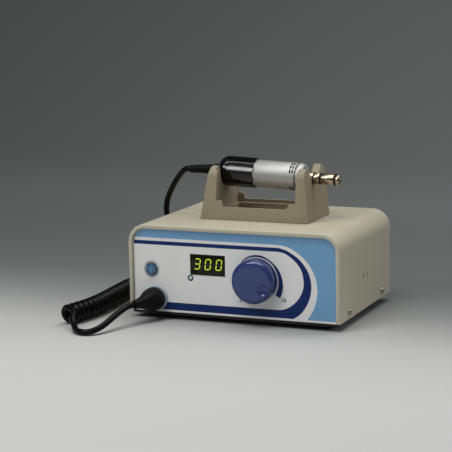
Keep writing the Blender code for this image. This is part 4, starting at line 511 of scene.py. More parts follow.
    # Black pad-printed ink of the barrel's dashes: flat against the metal's sheen
    surface("black_pad_print", "#060606", "#0A0A0A", 1, (0.5, 0.6), 1, grain=0.2, height=0.001,
            Specular_IOR_Level=0.2)
    # Soft moulded rubber of the feet and of the rings in their grooves: dull; the black ring in the snap groove is
    # there only as painted shade of the groove's depth
    surface("soft_black_rubber", "#131313", "#1A1A1A", 4, (0.6, 0.75), 2, grain=0.3, height=0.01)
    # Fibreglass board: green resist with paler woven threads, drawn a tenth of an inch apart to show
    board = surface("green_resist_board", "#1D5C2E", "#164824", 5, (0.3, 0.42), 4, grain=0.4, height=0.004)
    stripes(board, 2.54, "X", "#17502A", "#23713A")
    # Turned brass: yellow, bright on its edges
    surface("turned_brass", "#C9A24E", "#B48C3C", 2, (0.22, 0.34), 1, grain=0.3, height=0.003, Metallic=1.0)
    # Enamelled copper wire in layers, a strand every 0.6 mm: the dark and light bands are painted shade between the
    # strands and painted highlight on each
    wire = surface("enamelled_copper_wire", "#9A4A20", "#7C3714", 2, (0.25, 0.4), 2, grain=0.6, height=0.03,
                   Metallic=1.0)
    stripes(wire, 0.6, "Z", "#5E280F", "#B4602C")
    # Stacked core laminations, half a millimetre thick, varnished
    stack = surface("varnished_laminations", "#4A4642", "#35312E", 3, (0.4, 0.55), 3, grain=0.5, height=0.02,
                    Metallic=0.6)
    stripes(stack, 0.5, "Y", "#2C2926", "#57524D")
    # Pressed ferrite: grey-black, gritty
    surface("pressed_ferrite", "#3A3A3B", "#2C2C2D", 1, (0.55, 0.7), 1, grain=0.2, height=0.01)
    # Black anodised fins: extruded, with faint lines along them
    surface("black_anodised_fins", "#1A1A1C", "#242427", 3, (0.35, 0.5), 2, grain=0.3, height=0.004,
            stretch=(1, 1, 6), Metallic=0.7)
    # Shrunk PVC sleeve of the capacitor: smooth and a bit waxy
    surface("shrunk_pvc_sleeve", "#1A2350", "#131A3E", 6, (0.3, 0.42), 4, grain=0.6, height=0.006)
    # Rocker moulding: satin black
    surface("satin_black_rocker", "#141414", "#1B1B1B", 5, (0.28, 0.38), 3, grain=0.35, height=0.005)


class OBJECT_OT_polisher_finishes(bpy.types.Operator):
    """Make the finishes and give them to the pieces that stay as they were packed"""
    bl_idname = "object.polisher_finishes"
    bl_label = "Finishes"

    KEPT = {
        "matte_black_paint": ("base_tray",),
        "soft_black_rubber": ("foot_front_left", "foot_rear_left", "foot_front_right", "foot_rear_right"),
        "nickel_plated_steel": ("cradle_screw_left", "cradle_screw_right", "pot_nut", "jack_nut", "plug_shell"),
        "white_coated_panel": ("front_panel",),
        "stoved_beige_enamel": ("rear_panel",),
        "dark_moulded_plastic": ("display_module", "button_switch", "brush_carrier"),
        "green_resist_board": ("control_board", "power_board"),
        "turned_brass": ("board_standoff_left", "board_standoff_right"),
        "satin_turned_aluminium": ("knob_spindle",),
        "ground_steel": ("potentiometer", "rear_bearing", "front_bearing", "rotor_shaft"),
        "varnished_laminations": ("transformer_core",),
        "enamelled_copper_wire": ("transformer_winding", "rotor_core"),
        "pressed_ferrite": ("stator_magnet",),
        "black_anodised_fins": ("heat_sink",),
        "shrunk_pvc_sleeve": ("smoothing_capacitor",),
    }

    def execute(self, context):
        make_finishes()
        for finish, nodes in self.KEPT.items():
            for node in nodes:
                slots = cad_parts[node].data.materials
                slots.clear()
                slots.append(FINISHES[finish])
        return {"FINISHED"}


class OBJECT_OT_polisher_stage(bpy.types.Operator):
    """Add the floor with its sweep, the soft lamps and the camera at the photographed angle"""
    bl_idname = "object.polisher_stage"
    bl_label = "Stage"

    AZIMUTH, ELEVATION, ROLL = math.radians(23.053), math.radians(9.726), math.radians(-1.051)
    CAMERA_PLACE = (0.4843, -1.21345, 0.2939)
    LENS, SENSOR = 126.94, 36
    # The paper lies a little under the feet, its bend and wall well behind the unit
    PAPER, PAPER_MIDDLE, PAPER_DROP, WALL, SWEEP = 6, -1.2, 0.0002, 3, 1.0
    # The painted shade on the paper runs along y between these two places
    FADE_FROM, FADE_TO = -0.25, 1.35
    # Share of the way between them, and the paper's tone there: painted shade that darkens the paper towards the
    # back, as the lamps' light falls off
    FADE = ((0.094, "#BCBCBA"), (0.158, "#7E807F"), (0.233, "#5E6160"), (0.375, "#5D605F"), (0.5, "#666968"))
    PAINTED_FALLOFF_ENDS = ("#C9C9C7", "#747776")
    LAMP_TARGET = Vector((0, 0, 0.05))
    LAMPS = (
        ("overhead_softbox", (0.22, 0.3, 1.3), (0.9, 0.9), 8.5),
        ("front_softbox", (-0.1, -0.6, 1.4), (0.9, 0.5), 9.0),
        ("front_strip", (-0.58, -1.05, 1.01), (0.5, 0.2), 5.0),
        ("right_fill", (1.3, 0.85, 0.8), (0.7, 0.7), 5.0),
    )
    AIR, AIR_STRENGTH = "#D4D8DC", 0.16

    def execute(self, context):
        self.add_camera()
        self.add_sweep()
        self.add_lamps()
        self.light_world()
        context.scene.view_settings.view_transform = "Standard"
        return {"FINISHED"}

    def add_camera(self):
        deselect()
        bpy.ops.object.camera_add(location=self.CAMERA_PLACE)
        camera = bpy.context.object
        camera.data.lens = self.LENS
        camera.data.sensor_width = self.SENSOR
        a, e, r = self.AZIMUTH, self.ELEVATION, self.ROLL
        back = Vector((math.sin(a) * math.cos(e), -math.cos(a) * math.cos(e), math.sin(e)))
        right = Vector((math.cos(a), math.sin(a), 0))
        up = back.cross(right)
        side = math.cos(r) * right + math.sin(r) * up
        rise = math.cos(r) * up - math.sin(r) * right
        camera.matrix_world = Matrix.Translation(camera.location) @ Matrix((side, rise, back)).transposed().to_4x4()
        bpy.context.scene.camera = camera

    def add_sweep(self):
        """A floor whose far edge is drawn up into a wall, with a wide soft bend between them."""
        deselect()
        bpy.ops.mesh.primitive_plane_add(size=self.PAPER, location=(0, self.PAPER_MIDDLE, -self.PAPER_DROP))
        floor = settle("studio_sweep")
        far_edge = self.PAPER_MIDDLE + self.PAPER / 2
        pick(floor, "EDGE", lambda place, way: place.y > far_edge - 0.01)
        extrude((0, 0, self.WALL))
        pick(floor, "EDGE", lambda place, way: abs(place.y - far_edge) < 0.01 and abs(place.z) < 0.01)
        bpy.ops.mesh.bevel(offset=self.SWEEP, segments=24, affect="EDGES")
        focus(floor)
        bpy.ops.object.shade_smooth()
        # Pale seamless paper with painted shade: it falls away into grey towards the back, where the lamps' light
        # falls off
        tree, shader, place = surface("seamless_studio_paper", "#C9CBCC", "#C4C6C7", 400, (0.8, 0.9), 200,
                                      grain=4.0, height=0.01)
        parts = add_node(tree, "SeparateXYZ", None, {"Vector": place.outputs["Object"]})
        far = add_node(tree, "MapRange", {"From Min": self.FADE_FROM, "From Max": self.FADE_TO},
                       {"Value": parts.outputs["Y"]})
        painted_falloff_ramp = add_node(tree, "ValToRGB", None, {"Fac": far.outputs["Result"]})
        painted_falloff_ramp.color_ramp.interpolation = "B_SPLINE"
        stops = painted_falloff_ramp.color_ramp.elements
        for stop, tone in zip(stops, self.PAINTED_FALLOFF_ENDS):
            stop.color = (*linear(tone), 1)
        for share, tone in self.FADE:
            stops.new(share).color = (*linear(tone), 1)
        tree.links.new(painted_falloff_ramp.outputs["Color"], shader.inputs["Base Color"])
        floor.data.materials.append(FINISHES["seamless_studio_paper"])

    def add_lamps(self):
        for name, place, size, power in self.LAMPS:
            deselect()
            bpy.ops.object.light_add(type="AREA", location=place)
            lamp = bpy.context.object
            lamp.name = name
            lamp.data.shape = "RECTANGLE"
            lamp.data.size, lamp.data.size_y = size
            lamp.data.energy = power
            lamp.rotation_euler = (self.LAMP_TARGET - Vector(place)).to_track_quat("-Z", "Y").to_euler()

    def light_world(self):
        world = bpy.data.worlds.new("studio_air")
        bpy.context.scene.world = world
        world.use_nodes = True
        backing = world.node_tree.nodes["Background"]
        backing.inputs["Color"].default_value = (*linear(self.AIR), 1)
        backing.inputs["Strength"].default_value = self.AIR_STRENGTH


# Curly cord

CURL_RADIUS = 5.9
CURL_TURNS = 21.8
CURL_STEPS = 16
CURL_START = math.radians(60)
CURL_LEAD = math.radians(110)
CURL_REST_GAP = 0.1
# How much further than an even curl the first and the last one run along the axis
FRONT_EXTRA = (2.0 - 1) / 3
REAR_EXTRA = (9.0 - 1) / 3
CURL_AXIS = (
    (-125.9, -42.5), (-123.6, -30.1), (-120.9, -14.3), (-120.5, 6.1),
    (-122.2, 30.9), (-124.2, 57.7), (-124.5, 70.0), (-122.5, 86.0), (-118.5, 100.0),
)
FRONT_ROUTE = (
    (-116.0, -53.0, 2.0), (-112.0, -58.0, -2.2), (-106.0, -66.0, -3.9), (-98.5, -70.0, -4.0),
    (-91.5, -68.0, -3.4), (-86.5, -60.0, -1.0), (-83.5, -50.0, 2.8), (-80.5, -39.0, 7.0),
)
TAIL_ROUTE = (
    (-109.0, 107.5, 15.0), (-105.0, 109.5, 29.0), (-101.5, 106.0, 43.0), (-99.0, 97.5, 56.0),
    (-96.8, 87.5, 68.0), (-92.5, 81.2, 79.5), (-86.0, 77.5, 90.5), (-78.0, 73.5, 100.5),
)
BOOT_TIP = (-75.0, -25.0, 10.0)
JACK_GAP, JACK_FLANGE, BOOT_GAP = 0.3, 1.5, 0.3
BOOT_FACE = FILM_FACE - JACK_GAP - JACK_FLANGE - BOOT_GAP
RELIEF_START, RELIEF_COLLAR, RELIEF_END, RELIEF_DROOP = -62.6, -41.0, -35.7, 1.2
ROUTE_STEPS = 32
# Steps of a path that gives the cord its end, and of one that a piece is bent along
END_STEPS, BEND_STEPS = 20, 40


def smooth_route(points):
    """Dense points on the smooth curve through a route's own points."""
    anchors = [2 * points[0] - points[1]] + list(points) + [2 * points[-1] - points[-2]]
    dense = []
    for before, start, end, after in zip(anchors, anchors[1:], anchors[2:], anchors[3:]):
        for step in range(ROUTE_STEPS):
            t = step / ROUTE_STEPS
            dense.append((2 * start + (end - before) * t
                          + (2 * before - 5 * start + 4 * end - after) * t ** 2
                          + (3 * start - before - 3 * end + after) * t ** 3) / 2)
    dense.append(points[-1])
    return dense


def path_length(points):
    return sum((far - near).length for near, far in zip(points, points[1:]))


def walk(dense, spacing):
    """Thin a dense line to even steps of about a spacing, both ends kept."""
    reach = [0.0]
    for near, far in zip(dense, dense[1:]):
        reach.append(reach[-1] + (far - near).length)
    count = max(2, round(reach[-1] / spacing))
    picked = []
    index = 0
    for step in range(count + 1):
        goal = reach[-1] * step / count
        while index < len(dense) - 2 and reach[index + 1] < goal:
            index += 1
        share = (goal - reach[index]) / (reach[index + 1] - reach[index])
        picked.append(dense[index].lerp(dense[index + 1], share))
    return picked, reach[-1]


def curl_points(width):
    """The curls as one helix round their bent axis, led out along it at both ends."""
    level = CURL_RADIUS + width / MM / 2 + CURL_REST_GAP - LIFT
    axis, length = walk(smooth_route([at(x, y, level) for x, y in CURL_AXIS]), CURL_RADIUS * MM / ROUTE_STEPS)
    total = CURL_TURNS * FULL
    rate = length / (total + CURL_LEAD * (FRONT_EXTRA + REAR_EXTRA))

    def travelled(angle, extra):
        left = CURL_LEAD - angle
        return rate * (angle + extra * (CURL_LEAD ** 3 - left ** 3) / CURL_LEAD ** 2)

    points = []
    count = round(CURL_TURNS * CURL_STEPS)
    for number in range(count + 1):
        angle = total * number / count
        if angle < CURL_LEAD:
            distance = travelled(angle, FRONT_EXTRA)
        elif angle > total - CURL_LEAD:
            distance = length - travelled(total - angle, REAR_EXTRA)
        else:
            distance = rate * (angle + CURL_LEAD * FRONT_EXTRA)
        spot = min(distance / length * (len(axis) - 1), len(axis) - 2)
        near, far = axis[int(spot)], axis[int(spot) + 1]
        side = (far - near).cross(TO_TOP).normalized()
        turn = CURL_START + angle
        reach = CURL_RADIUS * MM * (math.cos(turn) * side + math.sin(turn) * TO_TOP)
        points.append(near.lerp(far, spot - int(spot)) + reach)
    return points


def boot_path(steps):
    """Middle line of the boot, from the jack's face to its tip, bending a little to the left."""
    start, tip = at(JACK[0], BOOT_FACE, JACK[1]), at(*BOOT_TIP)
    run = tip - start
    shares = [number / steps for number in range(steps + 1)]
    return [start + Vector((run.x * s * s, run.y * s, run.z * s * s)) for s in shares]


def relief_path(steps):
    """Middle line of the strain relief, from its collar to its drooping tip."""
    start, along, out = MOTOR_LINE
    points = []
    for number in range(steps + 1):
        share = number / steps
        reach = RELIEF_END + (RELIEF_START - RELIEF_END) * share
        slack = max(0.0, (RELIEF_COLLAR - reach) / (RELIEF_COLLAR - RELIEF_START))
        points.append(start + (along * reach - out * RELIEF_DROOP * slack ** 2) * MM)
    return points


class OBJECT_OT_polisher_cord(bpy.types.Operator):
    """Lay the curly cord from the boot, along the surface beside the unit and up to the motor"""
    bl_idname = "object.polisher_cord"
    bl_label = "Curly cord"

    SPACING = 2.5 * MM
    TUCK = 0.5
    ROUNDNESS = 5

    def execute(self, context):
        width = sizes().cord_width
        boot, relief = boot_path(END_STEPS), relief_path(END_STEPS)
        curls = curl_points(width)
        first = (boot[-1] - boot[-2]).normalized()
        last = (relief[-1] - relief[-2]).normalized()
        front = [boot[-1] - first * self.TUCK * MM, boot[-1] + first * width]
        front += [at(*place) for place in reversed(FRONT_ROUTE)]
        near, far = (curls[0] - curls[1]).normalized(), (curls[-1] - curls[-2]).normalized()
        tail = [curls[-1] + far * width] + [at(*place) for place in TAIL_ROUTE]
        tail += [relief[-1] + last * width, relief[-1] - last * self.TUCK * MM]
        line = walk(smooth_route(front + [curls[0] + near * width, curls[0]]), self.SPACING)[0][:-1]
        line += curls
        line += walk(smooth_route([curls[-1]] + tail), self.SPACING)[0][1:]
        cord = self.skin(line, width)
        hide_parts("cord_front", "cord_coil", "cord_tail")
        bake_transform(cord)
        return {"FINISHED"}

    def skin(self, line, width):
        """A round jacket along a line, made a mesh."""
        cord = thread(line)
        cord.name = "curly_cord"
        cord.data.bevel_depth = width / 2
        cord.data.bevel_resolution = self.ROUNDNESS
        cord.data.use_fill_caps = True
        cord.data.materials.append(FINISHES["shiny_cord_jacket"])
        bpy.ops.object.convert(target="MESH")
        cord = bpy.context.object
        cord.data.name = "curly_cord"
        close_up(cord)
        bpy.ops.object.shade_smooth_by_angle(angle=math.radians(50))
        return cord


class OBJECT_OT_polisher_cover(bpy.types.Operator):
    """Bend the enamelled cover, with its hems, seam, side slots and screw holes"""
    bl_idname = "object.polisher_cover"
    bl_label = "Cover"

    PAST = 5
    SEAM_LEFT, SEAM_RIGHT, SEAM_Y, SEAM_DEPTH = -76, 69, 68, 0.5
    SLOTS = (59.2, 69.7)
    SLOT_HALF, SLOT_LOW, SLOT_HIGH = 0.8, 25.9, 29.7
    # Behind the slots the sheet is thinned from inside, so that a slanting look passes through
    POCKET_HALF, POCKET_LOW, POCKET_HIGH, POCKET_SKIN = 4, 23, 32.5, 0.4
    SCREW_HOLE = 1.8

    def execute(self, context):
        cover = prism("cover_shell", arch(WIDE, 0, HIGH, BEND), DEEP, facing_front(0))
        through = arch(WIDE - 2 * HEM, -self.PAST, HIGH - HEM, BEND - HEM)
        combine(cover, prism("through", through, DEEP + 2 * self.PAST, facing_front(-self.PAST)))
        rims = (at(0, 0, 0).y, at(0, DEEP, 0).y)
        pick(cover, "EDGE", lambda place, way: min(abs(place.y - rim) for rim in rims) < WELD)
        bpy.ops.mesh.bevel(offset=sizes().hem_round, segments=4, affect="EDGES")
        hollow = arch(WIDE - 2 * SHEET, -self.PAST, HIGH - SHEET, BEND - SHEET)
        combine(cover, prism("hollow", hollow, DEEP - 2 * FILM_FACE, facing_front(FILM_FACE)))
        half = sizes().seam_width / MM / 2
        combine(cover, add_box("seam", (self.SEAM_LEFT, self.SEAM_Y - half, HIGH - self.SEAM_DEPTH),
                               (self.SEAM_RIGHT, self.SEAM_Y + half, HIGH + 1)))
        for y in self.SLOTS:
            self.cut_across(cover, y, self.SLOT_HALF, self.SLOT_LOW, self.SLOT_HIGH, WIDE / 2 + 2)
            self.cut_across(cover, y, self.POCKET_HALF, self.POCKET_LOW, self.POCKET_HIGH,
                            WIDE / 2 - self.POCKET_SKIN)
        for y in SCREW_ENDS.values():
            line = (at(-WIDE / 2 - 3, y, SCREW_LEVEL), TO_RIGHT, TO_TOP)
            combine(cover, rod("bore", line, 0, WIDE + 6, self.SCREW_HOLE, SMALL))
        dress(cover, "stoved_beige_enamel", stands_for=["cover"])
        return {"FINISHED"}

    def cut_across(self, cover, y, half, low, high, reach):
        """Cut both sides of the cover at once, out to a reach from the middle."""
        combine(cover, add_box("slot", (-reach, y - half, low), (reach, y + half, high)))


class OBJECT_OT_polisher_screws(bpy.types.Operator):
    """Turn one cross-slotted cover screw and copy it to its four places"""
    bl_idname = "object.polisher_screws"
    bl_label = "Cover screws"

    SHANK, SHANK_RADIUS = 6.5, 1.5
    SEAT, HEAD, HEAD_RADIUS, HEAD_FULLNESS = 0.3, 1.4, 2.75, 0.8
    CROSS_LONG, CROSS_WIDE, CROSS_BOTTOM = 3.0, 0.55, 0.9

    def execute(self, context):
        x, y, z = WIDE / 2, SCREW_ENDS["front"], SCREW_LEVEL
        profile = [(-self.SHANK, 0), (-self.SHANK, self.SHANK_RADIUS), (self.SEAT, self.SHANK_RADIUS),
                   (self.SEAT, self.HEAD_RADIUS)]
        for angle in map(math.radians, (15, 30, 45, 60, 75)):
            profile.append((self.SEAT + self.HEAD * math.sin(angle),
                            self.HEAD_RADIUS * math.cos(angle) ** self.HEAD_FULLNESS))
        profile.append((self.SEAT + self.HEAD, 0))
        screw = turned("cover_screw", (at(x, y, z), TO_RIGHT, TO_TOP), profile, MEDIUM)
        for wide, tall in ((self.CROSS_WIDE, self.CROSS_LONG), (self.CROSS_LONG, self.CROSS_WIDE)):
            combine(screw, add_box("recess", (x + self.CROSS_BOTTOM, y - wide / 2, z - tall / 2),
                                   (x + 3, y + wide / 2, z + tall / 2)))
        soften(screw, 0.12)
        for side in ("right", "left"):
            for end, depth in SCREW_ENDS.items():
                focus(screw)
                bpy.ops.object.duplicate()
                copy = bpy.context.object
                copy.name = f"cross_screw_{end}_{side}"
                bpy.ops.transform.translate(value=(0, (depth - y) * MM, 0))
                fix_place()
                if side == "left":
                    bpy.ops.transform.mirror(constraint_axis=(True, False, False), center_override=(0, 0, 0))
                    fix_place()
                    close_up(copy)
                dress(copy, "nickel_plated_steel", stands_for=[f"cover_screw_{end}_{side}"])
        discard(screw)
        return {"FINISHED"}


# Printed panel: outlines in millimetres of the unit, as seen from the front

FILM_GAP = 0.3
BAND_OUTER = ((37.4, 60.3), (43.3, 59.7), (49.1, 58.1), (55.7, 54.3), (61.7, 49.4), (66.6, 43.0), (70.1, 35.4),
              (71.6, 27.3), (71.3, 21.0), (70.0, 14.6), (67.3, 8.0), (63.2, 1.5))
NAVY_OUTER = ((39.5, 57.9), (44.5, 56.7), (49.1, 54.6), (55.7, 50.4), (60.8, 45.0), (64.6, 38.6), (66.6, 29.9),
              (65.7, 20.6), (62.4, 12.5), (57.4, 5.8), (51.4, 1.5))
NAVY_INNER = ((40.0, 7.9), (44.4, 8.9), (48.6, 11.1), (53.0, 14.6), (56.9, 19.4), (59.6, 25.5), (60.2, 32.3),
              (58.6, 40.0), (54.8, 46.2), (48.9, 51.2), (44.2, 53.8), (39.5, 54.8))
SCALE_OUTER = ((6.9, 43.8), (8.2, 45.7), (12.0, 48.7), (16.6, 50.6), (21.2, 51.1), (25.8, 50.5), (30.0, 48.6),
               (34.0, 45.9), (37.8, 42.2), (40.7, 37.6), (42.4, 32.4), (42.9, 27.0), (42.2, 22.0), (40.3, 17.4))
SCALE_INNER = ((36.4, 19.6), (38.5, 25.0), (39.2, 31.0), (38.0, 37.4), (34.8, 43.2), (30.0, 47.2), (24.6, 49.2),
               (19.6, 49.6), (14.4, 48.6), (10.0, 46.2))


def rounded(points, steps=5):
    """A smooth line through flat points."""
    dense = smooth_route([Vector((x, 0, z)) for x, z in points])
    return [(p.x, p.z) for p in dense[::max(1, ROUTE_STEPS // steps)]] + [points[-1]]


def film_edge(margin, bottom):
    """The film's outline, brought in by a margin, from its lower left corner round to its right one."""
    inset = HEM + FILM_GAP + margin
    return arch(WIDE - 2 * inset, bottom, HIGH - inset, BEND - inset)


class OBJECT_OT_polisher_panel(bpy.types.Operator):
    """Lay the white film, its light blue and navy fields, the dial scale and the small marks"""
    bl_idname = "object.polisher_panel"
    bl_label = "Printed panel"

    FILM_FOOT, FILM_BACK = -0.2, 0.4
    WINDOW_HALF = (15.3, 8.55)
    HOLES = ((LAMP, 1.7), (BUTTON, 5.15), (KNOB, 4.8), (JACK, 8.3))
    # The print stays clear of the film's edge; the levels bound the white field and the stripes
    MARGIN, PRINT_FOOT, FIELD_TOP, SKY_TURN = 0.5, 1.5, 60.5, 56
    UPPER_STRIPE, LOWER_STRIPE = (54.8, 57.9), (1.5, 7.6)
    RINGS = (("button_ring", BUTTON, 6.3, 6.75, FINE), ("lamp_ring", LAMP, 1.72, 2.6, MEDIUM))
    NUMBERS = (("dial_number_low", "0", (5.6, 12.4)), ("dial_number_high", "10", (41.0, 14.6)))
    NUMBER_SIZE, NUMBER_WEIGHT = 4.2, 0.12

    def execute(self, context):
        film = prism("printed_film", film_edge(0, self.FILM_FOOT), self.FILM_BACK, facing_front(FILM_FACE))
        (x, z), (across, upward) = WINDOW, self.WINDOW_HALF
        combine(film, add_box("window", (x - across, 0, z - upward), (x + across, 6, z + upward)))
        for place, radius in self.HOLES:
            combine(film, rod("bore", out_of_film(place), -3, 3, radius))
        dress(film, "white_printed_film", stands_for=["panel_overlay"])
        edge = film_edge(self.MARGIN, self.PRINT_FOOT)
        left = edge[0][0]
        upper = [(x, z) for x, z in edge if z > self.FIELD_TOP or x > 0 and z > self.SKY_TURN]
        sky = [edge[1]] + upper + [(left, self.FIELD_TOP)] + rounded(BAND_OUTER)
        self.lay("light_blue_field", sky, "light_blue_screen_ink")
        stripe = [(left, z) for z in self.UPPER_STRIPE] + rounded(NAVY_OUTER)
        stripe += [(left, z) for z in self.LOWER_STRIPE] + rounded(NAVY_INNER)
        self.lay("navy_stripe", stripe, "navy_screen_ink")
        self.lay("dial_scale", rounded(SCALE_OUTER) + rounded(SCALE_INNER), "navy_screen_ink")
        build = sizes().print_build / MM
        for name, place, inner, outer, steps in self.RINGS:
            profile = [(0, inner), (0, outer), (build, outer), (build, inner)]
            ring = turned(name, out_of_film(place), profile, steps, ring=True)
            dress(ring, "navy_screen_ink")
        for name, words, place in self.NUMBERS:
            self.number(name, words, place)
        return {"FINISHED"}

    def lay(self, name, outline, finish):
        """One printed layer on the film."""
        build = sizes().print_build / MM
        printed = prism(name, outline, build, facing_front(FILM_FACE - build))
        dress(printed, finish)

    def number(self, name, words, place):
        """A plain dial number, printed as a thin layer."""
        deselect()
        bpy.ops.object.text_add(location=at(place[0], FILM_FACE, place[1]), rotation=(math.pi / 2, 0, 0))
        text = bpy.context.object
        text.data.body = words
        text.data.size = self.NUMBER_SIZE * MM
        text.data.extrude = sizes().print_build
        text.data.offset = self.NUMBER_WEIGHT * MM
        bpy.ops.object.convert(target="MESH")
        dress(close_up(settle(name)), "navy_screen_ink")


class OBJECT_OT_polisher_display(bpy.types.Operator):
    """Set the smoked window, the three figures of the display and the small lamp"""
    bl_idname = "object.polisher_display"
    bl_label = "Display"

    LENS_HALF, LENS_PROUD, LENS_DEPTH = (15, 8.25), 0.3, 3
    FLANGE_STEP, FLANGE, FLANGE_SIZE = 0.1, 0.9, (31.2, 17.7)
    FIGURES = "300"
    LIT = {"3": "abgcd", "0": "abcdef"}
    CENTRES, LEVEL = (-30.6, -21.3, -11.8), 41.0
    TALL, BROAD, STROKE, SLANT = 9.1, 5.3, 0.82, math.tan(math.radians(8))
    BAR_GAP, BAR_DEPTH, BAR_PROUD = 0.22, 0.03, 0.33
    LAMP_RADIUS, LAMP_RIM, LAMP_TIP = 1.4, 2.0, 0.8
    LAMP_END, RIM_BACK, RIM_FRONT = -11.1, -4.0, -3.0

    def execute(self, context):
        self.add_lens()
        for number, (figure, centre) in enumerate(zip(self.FIGURES, self.CENTRES)):
            for letter in "abcdefg":
                name = f"figure_{number + 1}_segment_{letter}"
                bar = prism(name, self.bar(letter, centre), self.BAR_DEPTH, facing_front(FILM_FACE - self.BAR_PROUD))
                dress(bar, "lit_segment" if letter in self.LIT[figure] else "unlit_segment")
        radius = self.LAMP_RADIUS
        profile = [(self.LAMP_END, 0), (self.LAMP_END, radius), (self.RIM_BACK, radius),
                   (self.RIM_BACK, self.LAMP_RIM), (self.RIM_FRONT, self.LAMP_RIM), (self.RIM_FRONT, radius)]
        for angle in map(math.radians, range(0, 90, 10)):
            profile.append((self.LAMP_TIP - radius + radius * math.sin(angle), radius * math.cos(angle)))
        lamp = turned("lamp_lens", out_of_film(LAMP), profile + [(self.LAMP_TIP, 0)], MEDIUM)
        dress(lamp, "clear_lamp_lens", stands_for=["indicator_lamp"])
        return {"FINISHED"}

    def add_lens(self):
        """The window, with a flange drawn out of its back."""
        (x, z), (across, upward) = WINDOW, self.LENS_HALF
        lens = add_box("display_lens", (x - across, FILM_FACE - self.LENS_PROUD, z - upward),
                       (x + across, FILM_FACE + self.LENS_DEPTH, z + upward))
        pick(lens, "FACE", lambda place, facing: facing.y > 0.9)
        extrude((0, self.FLANGE_STEP * MM, 0))
        wide, tall = self.FLANGE_SIZE
        bpy.ops.transform.resize(value=(wide / (2 * across), 1, tall / (2 * upward)))
        extrude((0, self.FLANGE * MM, 0))
        close_up(lens)
        soften(lens, 0.15)
        dress(lens, "smoked_acrylic", stands_for=["display_window"])

    def bar(self, letter, centre):
        """Corners of one slanted bar of a seven-bar figure."""
        half, gap = self.STROKE / 2, self.BAR_GAP
        wide, mid = self.BROAD / 2 - half, self.TALL / 2 - half
        ends = {"a": ((-wide, mid), (wide, mid)), "g": ((-wide, 0), (wide, 0)), "d": ((-wide, -mid), (wide, -mid)),
                "f": ((-wide, 0), (-wide, mid)), "b": ((wide, 0), (wide, mid)),
                "e": ((-wide, -mid), (-wide, 0)), "c": ((wide, -mid), (wide, 0))}
        (u0, v0), (u1, v1) = ends[letter]
        if letter in "agd":
            flat = [(u0 + gap, v0), (u0 + gap + half, v0 - half), (u1 - gap - half, v1 - half), (u1 - gap, v1),
                    (u1 - gap - half, v1 + half), (u0 + gap + half, v0 + half)]
        else:
            flat = [(u0, v0 + gap), (u0 + half, v0 + gap + half), (u1 + half, v1 - gap - half), (u1, v1 - gap),
                    (u1 - half, v1 - gap - half), (u0 - half, v0 + gap + half)]
        return [(centre + u + v * self.SLANT, self.LEVEL + v) for u, v in flat]


class OBJECT_OT_polisher_button(bpy.types.Operator):
    """Turn the power button and the bezel round it"""
    bl_idname = "object.polisher_button"
    bl_label = "Power button"

    # Stem, skirt and gently dished cap
    CAP = ((-8.6, 0), (-8.6, 1.5), (-5.6, 1.5), (-5.6, 4.6), (1.5, 4.6), (1.85, 4.45), (2.05, 4.1), (2.1, 3.6),
           (1.95, 2.8), (1.8, 1.6), (1.75, 0))
    # Thin sleeve in the panel, with a flange on the film
    BEZEL = ((-3.5, 4.75), (0.7, 4.75), (0.9, 4.85), (0.9, 5.2), (0.7, 5.45), (0.1, 5.45), (0.1, 5.05), (-3.5, 5.05))

    def execute(self, context):
        cap = turned("button_cap", out_of_film(BUTTON), self.CAP)
        dress(cap, "teal_button_plastic", body="button", stands_for=["power_button"])
        bezel = turned("bezel_ring", out_of_film(BUTTON), self.BEZEL, ring=True)
        soften(bezel, 0.08)
        dress(bezel, "blue_black_moulding", stands_for=["button_bezel"])
        return {"FINISHED"}


class OBJECT_OT_polisher_knob(bpy.types.Operator):
    """Turn the speed knob and press the finger dimple into its face"""
    bl_idname = "object.polisher_knob"
    bl_label = "Speed knob"

    FACE, EDGE_RADIUS, EDGE_CENTRE, ROUND_STEPS = 12.6, 4.0, 13.9, 120
    # From the skirt round the hollow back to the bore for the spindle
    BACK = ((1.6, 18.0), (1.1, 17.7), (1.1, 16.5), (8.6, 16.5), (8.6, 5.5), (3.8, 5.5), (3.8, 3.3), (8.6, 3.3),
            (8.6, 0))
    DIMPLE_ANGLE, DIMPLE_REACH, DIMPLE_RADIUS, DIMPLE_DEPTH = math.radians(-29), 11.2, 5.0, 1.7

    def execute(self, context):
        profile = [(self.FACE, 0), (self.FACE, 6.0)]
        profile += [(self.FACE - self.EDGE_RADIUS + v, self.EDGE_CENTRE + u)
                    for u, v in arc((0, 0), self.EDGE_RADIUS, 90, 0, 14)]
        knob = turned("dial_knob", out_of_film(KNOB), profile + list(self.BACK), self.ROUND_STEPS)
        ball = (self.DIMPLE_RADIUS ** 2 + self.DIMPLE_DEPTH ** 2) / (2 * self.DIMPLE_DEPTH)
        place = at(KNOB[0] + self.DIMPLE_REACH * math.cos(self.DIMPLE_ANGLE),
                   FILM_FACE - self.FACE - ball + self.DIMPLE_DEPTH,
                   KNOB[1] + self.DIMPLE_REACH * math.sin(self.DIMPLE_ANGLE))
        deselect()
        bpy.ops.mesh.primitive_uv_sphere_add(segments=64, ring_count=48, radius=ball * MM, location=place)
        combine(knob, settle("dimple"))
        soften(knob, 0.45, 3, 18)
        dress(knob, "glossy_blue_abs", body="knob", stands_for=["speed_knob"], smooth=24)
        return {"FINISHED"}


